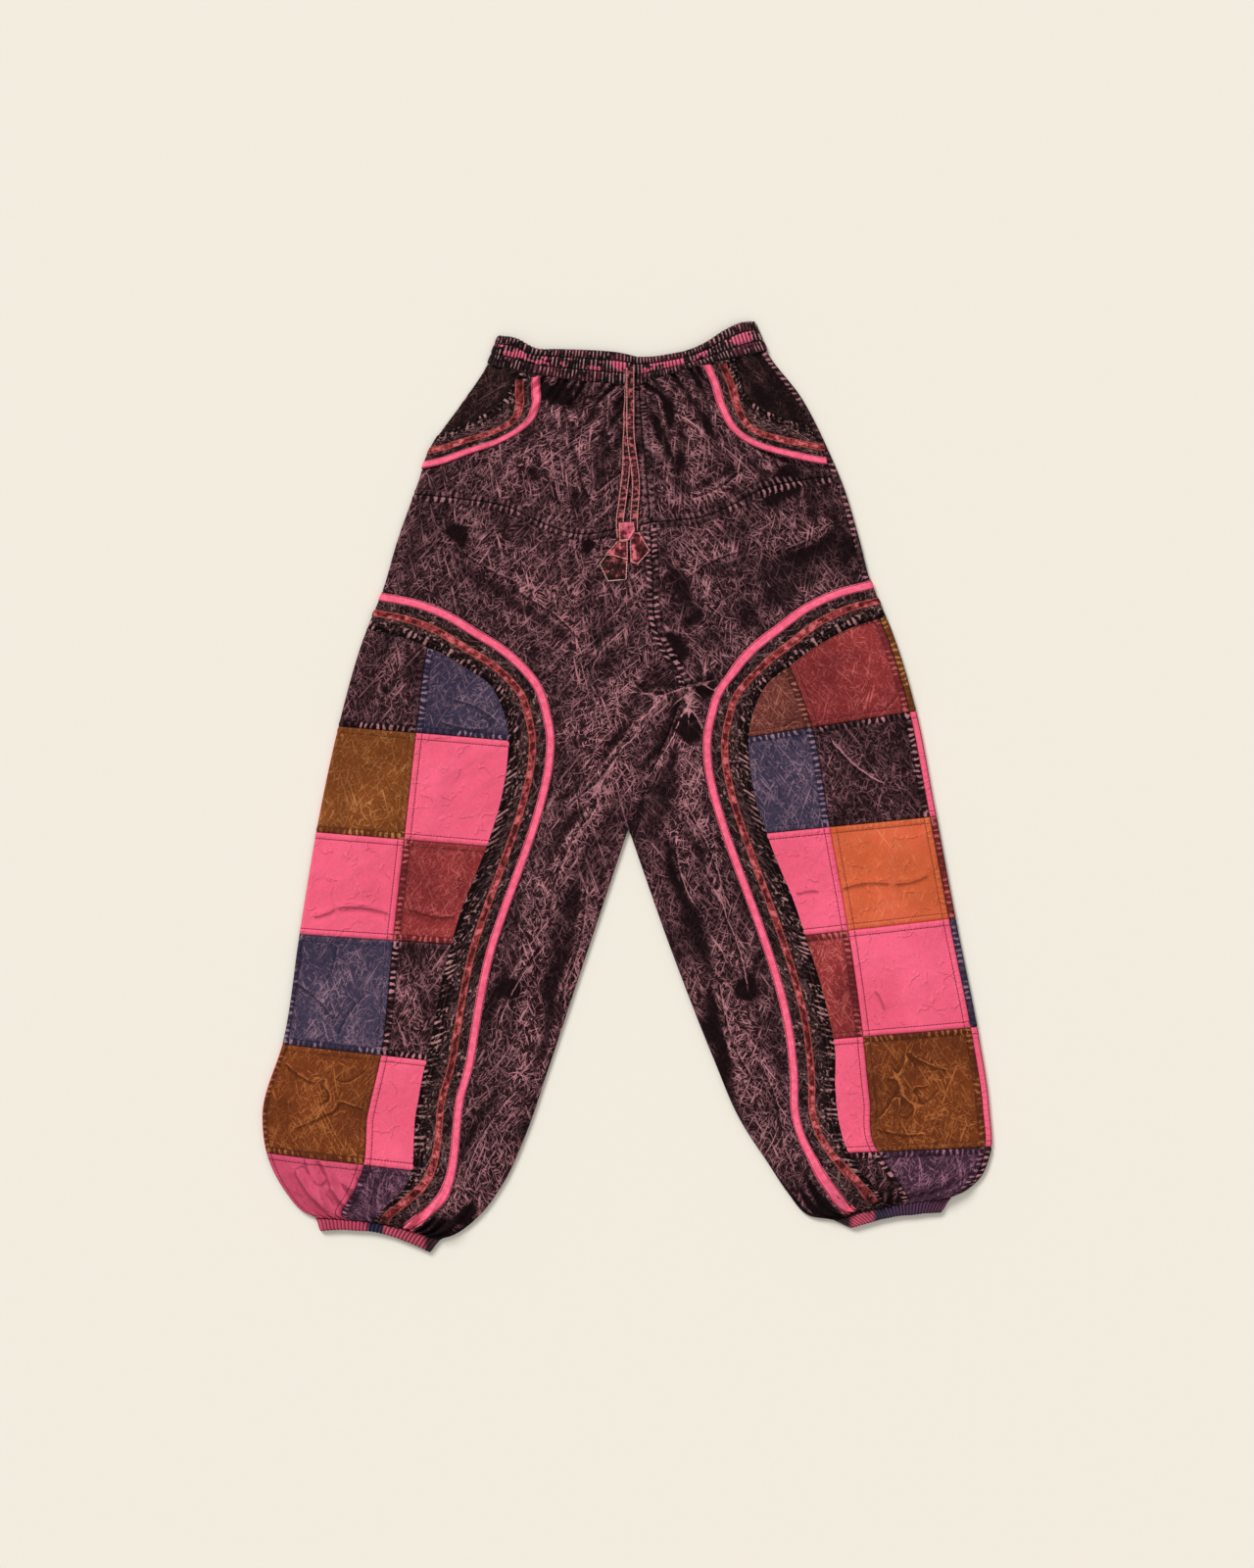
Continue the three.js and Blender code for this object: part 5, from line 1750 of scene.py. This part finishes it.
# Where the casing is drawn in, as parts of its height
waistPinches = [
    # place, depth, width
    (0.27, 0.75, 0.045),
    (0.64, 0.75, 0.045),
    (0, 0.7, 0.07),
    (1, 0.8, 0.05),
]
cuff = {
    "gathers": 64,
    "columnsPerGather": 6,
    "rows": 12,
    "ridge": 2.2,
    "valley": 0.5,
    "backRidge": 0.9,
    "pinch": 0.75,
    "pinchWidth": 0.12,
    "wave": 2.2,
    "ridgeReach": 1.1,
    "flatSize": (0.36, 0.014),
}
gathering = {
    "dark": (0.010, 0.004, 0.005),
    "pale": (0.50, 0.24, 0.25),
    "bright": (0.80, 0.14, 0.24),
    # Darkens a cuff's tint between the gathers, as painted shade
    "tintShade": (0.28, 0.24, 0.26),
    "paleShare": 0.85,
    "sewnShare": 0.85,
    "bump": 0.0008,
}


# Colour of the gathered cloth from the side fold to the inseam; its pinks are darkened as painted shade
cuffColours = {
    "left": readTable("share red green blue", [
        (0.0, 0.60, 0.075, 0.15), (0.40, 0.62, 0.08, 0.155), (0.43, 0.03, 0.025, 0.06),
        (0.53, 0.03, 0.025, 0.06), (0.56, 0.62, 0.10, 0.17), (0.86, 0.50, 0.08, 0.13),
        (0.90, 0.04, 0.015, 0.02), (1.0, 0.06, 0.02, 0.025),
    ]),
    "right": readTable("share red green blue", [
        (0.0, 0.13, 0.04, 0.08), (0.5, 0.075, 0.038, 0.085), (0.64, 0.03, 0.025, 0.06),
        (0.68, 0.60, 0.10, 0.17), (0.84, 0.70, 0.11, 0.19), (0.88, 0.04, 0.015, 0.02),
        (1.0, 0.05, 0.02, 0.025),
    ]),
}


# The cloth of the casing, or of a cuff, whose bright colour is written at each of its points. The gather
# height gives painted shade between the gathers: the casing stays dark there and is pale with wear on
# its crests, and a cuff's tint is darkened there.
def makeGatherMaterial(name, brightShare, tinted):
    material, tree = newMaterial(name)
    cloth = readMap(tree, "clothMap")
    phase, down = twoParts(tree, readMap(tree, "seamMap"))
    wave = calc(tree, "COSINE", times(tree, phase, 2 * math.pi))
    level = readValue(tree, "wear")
    patchy = rampTo(tree, stretched(tree, cloth, 150, 90, 3.0, 0.7), 0.42, 0.6)
    # Pale wear on the crests only where the gathers stand high, so low and pinched places stay dark as
    # painted shade
    ridge = times(tree, rampTo(tree, wave, 0.0, 0.9), rampTo(tree, level, 0.1, 0.5), patchy)
    paleShare = times(tree, ridge, gathering["paleShare"])
    colour = blendColour(tree, paleShare, gathering["dark"], gathering["pale"])
    if tinted:
        brightColour = readValue(tree, "tint", "Color")
        # A cuff's tint is darkened between the gathers, as painted shade
        bright = rampTo(tree, level, 0.05, 0.5)
        colour = blendColour(tree, 1.0, brightColour, gathering["tintShade"], "MULTIPLY")
    else:
        brightColour = gathering["bright"]
        blotch = rampTo(tree, stretched(tree, cloth, 36, 45, 3.0, 0.75), 0.505, 0.55)
        middle = rampTo(tree, awayFrom(tree, down, 0.46), 0.14, 0.2, 1.0, 0.12)
        onRidge = rampTo(tree, wave, -0.9, -0.1, 0.12, 1.0)
        bright = times(tree, blotch, middle, onRidge, rampTo(tree, level, 0.0, 0.16, 0.3, 1.0))
    colour = blendColour(tree, times(tree, bright, brightShare), colour, brightColour)
    for place in () if tinted else waist["seams"]:
        sewn = rampTo(tree, awayFrom(tree, down, place), 0.012, 0.035, gathering["sewnShare"], 0.0)
        colour = blendColour(tree, sewn, colour, gathering["dark"])
    height = plus(tree, times(tree, ridge, 0.5), grain(tree, cloth, 300.0, 2.0))
    return finishCloth(material, colour, height, 0.86, 0.1, gathering["bump"])


def makeGathered(name, settings, cloth, place, node):
    columns = settings["gathers"] * settings["columnsPerGather"]
    rows = settings["rows"]
    turn = numpy.linspace(0, 1, columns + 1)[None]
    down = numpy.linspace(0, 1, rows + 1)[:, None]
    points, phase, level = place(turn, down, turn * settings["gathers"])
    long, high = settings["flatSize"][0] * 0.7, settings["flatSize"][1]
    mesh, at = gridMesh(name, columns, rows)
    setPoints(mesh, points[at])

    def everywhere(values):
        return numpy.broadcast_to(values, points.shape[:2])[at]

    setValue(mesh, "wear", everywhere(level))
    setMap(mesh, "clothMap", everywhere(turn * long), everywhere(down * high))
    setMap(mesh, "seamMap", everywhere(phase), everywhere(down))
    bm = bmesh.new()
    bm.from_mesh(mesh)
    bmesh.ops.remove_doubles(bm, verts=bm.verts, dist=0.005 * mm)
    bm.to_mesh(mesh)
    bm.free()
    piece = addPiece(name, mesh, cloth, node)
    return mesh


# The height of a gather, from 0 to 1
def gatherRidge(phase):
    return (0.5 + 0.5 * numpy.cos(2 * math.pi * phase)) ** 0.8


def frontToBack(turn):
    return numpy.where(turn < 0.5, turn * 2, 2 - turn * 2)


def makeWaist():
    leftShare = waist["leftShare"]
    firstSeam, secondSeam = waist["seams"]

    def place(turn, down, phase):
        across = frontToBack(turn)
        puffRow = numpy.where(down < firstSeam, 0, numpy.where(down < secondSeam, 1, 2))
        ends = smooth(turn, 0, 0.02) * smooth(1 - turn, 0, 0.02)
        phase = phase + 1.3 * softNoise(phase, puffRow * 9.0, 5.0, 91) * ends
        ridge = gatherRidge(phase) * (0.55 + 0.9 * softNoise(phase, puffRow * 7.0, 1.4, 95))
        wobble = ridge * bell(down, 0, 0.1)
        puff = numpy.clip(1 - sum(deep * bell(down, at, wide) for at, deep, wide in waistPinches), 0, 1)
        points = 0
        for side, chosen in (("left", across <= leftShare), ("right", across > leftShare)):
            half = halves[side]
            toCentre = across / leftShare if side == "left" else (1 - across) / (1 - leftShare)
            v = half["places"][0] * (1 - down) + 0 * toCentre - 0.2
            share = numpy.clip(toCentre, 0, 1)
            f = midFold + (widthAt(half, v) - midFold) * share
            edge = smooth(f, 1, 9)
            front = waist["valley"] + (waist["ridge"] * ridge + waist["puff"]) * puff
            front = onCloth(half, "front", f, v - 0.9 * wobble, front * (0.35 + 0.65 * edge))
            back = -(0.2 + waist["backRidge"] * (1 - ridge * puff)) * edge
            layer = numpy.where((turn < 0.5)[..., None], front, onCloth(half, "back", f, v, back))
            wave = through(waistWave["share"], waistWave[side], numpy.zeros(8), share)
            rise = half["sag"](v) * 4 * toCentre * (1 - toCentre) - wave
            layer[..., 1] = layer[..., 1] + rise * (1 - down)
            points = points + numpy.where(chosen[..., None], layer, 0)
        # The gather height, read by the casing's colour as wear on the crests and painted shade between
        # them
        level = (ridge * puff) * (turn < 0.5) + wearAndShading["middle"] * (turn >= 0.5)
        return points, phase, level

    clothMaterials["gatheredCasing"] = makeGatherMaterial("gatheredCasing", 0.95, False)
    finishMesh(makeGathered("waistCasing", waist, "gatheredCasing", place, "waistband"), False)


def makeCuff(half):
    side = half["side"]

    def place(turn, down, phase):
        ridge = gatherRidge(phase) * (0.7 + 0.6 * softNoise(phase, down * 3, 2.2, 97))
        wave = cuff["wave"] * (softNoise(phase, 3.0, 5.0, 99) - 0.5) * down
        wave = wave - cuff["ridgeReach"] * ridge * down
        v = half["legEnd"] + 0.2 + (half["hem"] - half["legEnd"]) * down + wave
        end = innerEnd(half, v)
        f = midFold + (end - midFold) * frontToBack(turn)
        pinches = bell(down, 0, cuff["pinchWidth"]) + bell(1 - down, 0, cuff["pinchWidth"])
        puff = 1 - cuff["pinch"] * pinches
        edge = smooth(f, 1, 9) * smooth(end - f, 1, 9)
        front = (cuff["valley"] + cuff["ridge"] * ridge * puff) * (0.35 + 0.65 * edge)
        back = -(0.2 + cuff["backRidge"] * (1 - ridge * puff)) * edge
        points = numpy.where((turn < 0.5)[..., None],
                             onCloth(half, "front", f, v, front), onCloth(half, "back", f, v, back))
        # The gather height, read by the cuff's colour as painted shade between the gathers
        return points, phase, ridge * puff

    cloth = "gatheredCuff" + side.title()
    clothMaterials[cloth] = makeGatherMaterial(cloth, 0.9, True)
    mesh = makeGathered("cuff" + side.title(), cuff, cloth, place, "cuff_" + side)
    x = meshPoints(mesh)[:, 0]
    share = (x - x.min()) / (x.max() - x.min())
    share = share if side == "left" else 1 - share
    table = cuffColours[side]
    tint = [numpy.interp(share, table["share"], table[key]) for key in ("red", "green", "blue")]
    tint = numpy.stack(tint + [numpy.ones(len(share))], -1).astype(numpy.float32)
    layer = mesh.attributes.new(name="tint", type="FLOAT_COLOR", domain="POINT")
    layer.data.foreach_set("color", tint.reshape(-1))
    finishMesh(mesh, side == "right")


makeWaist()
for half in halves.values():
    makeCuff(half)
print("waist and cuffs ready")
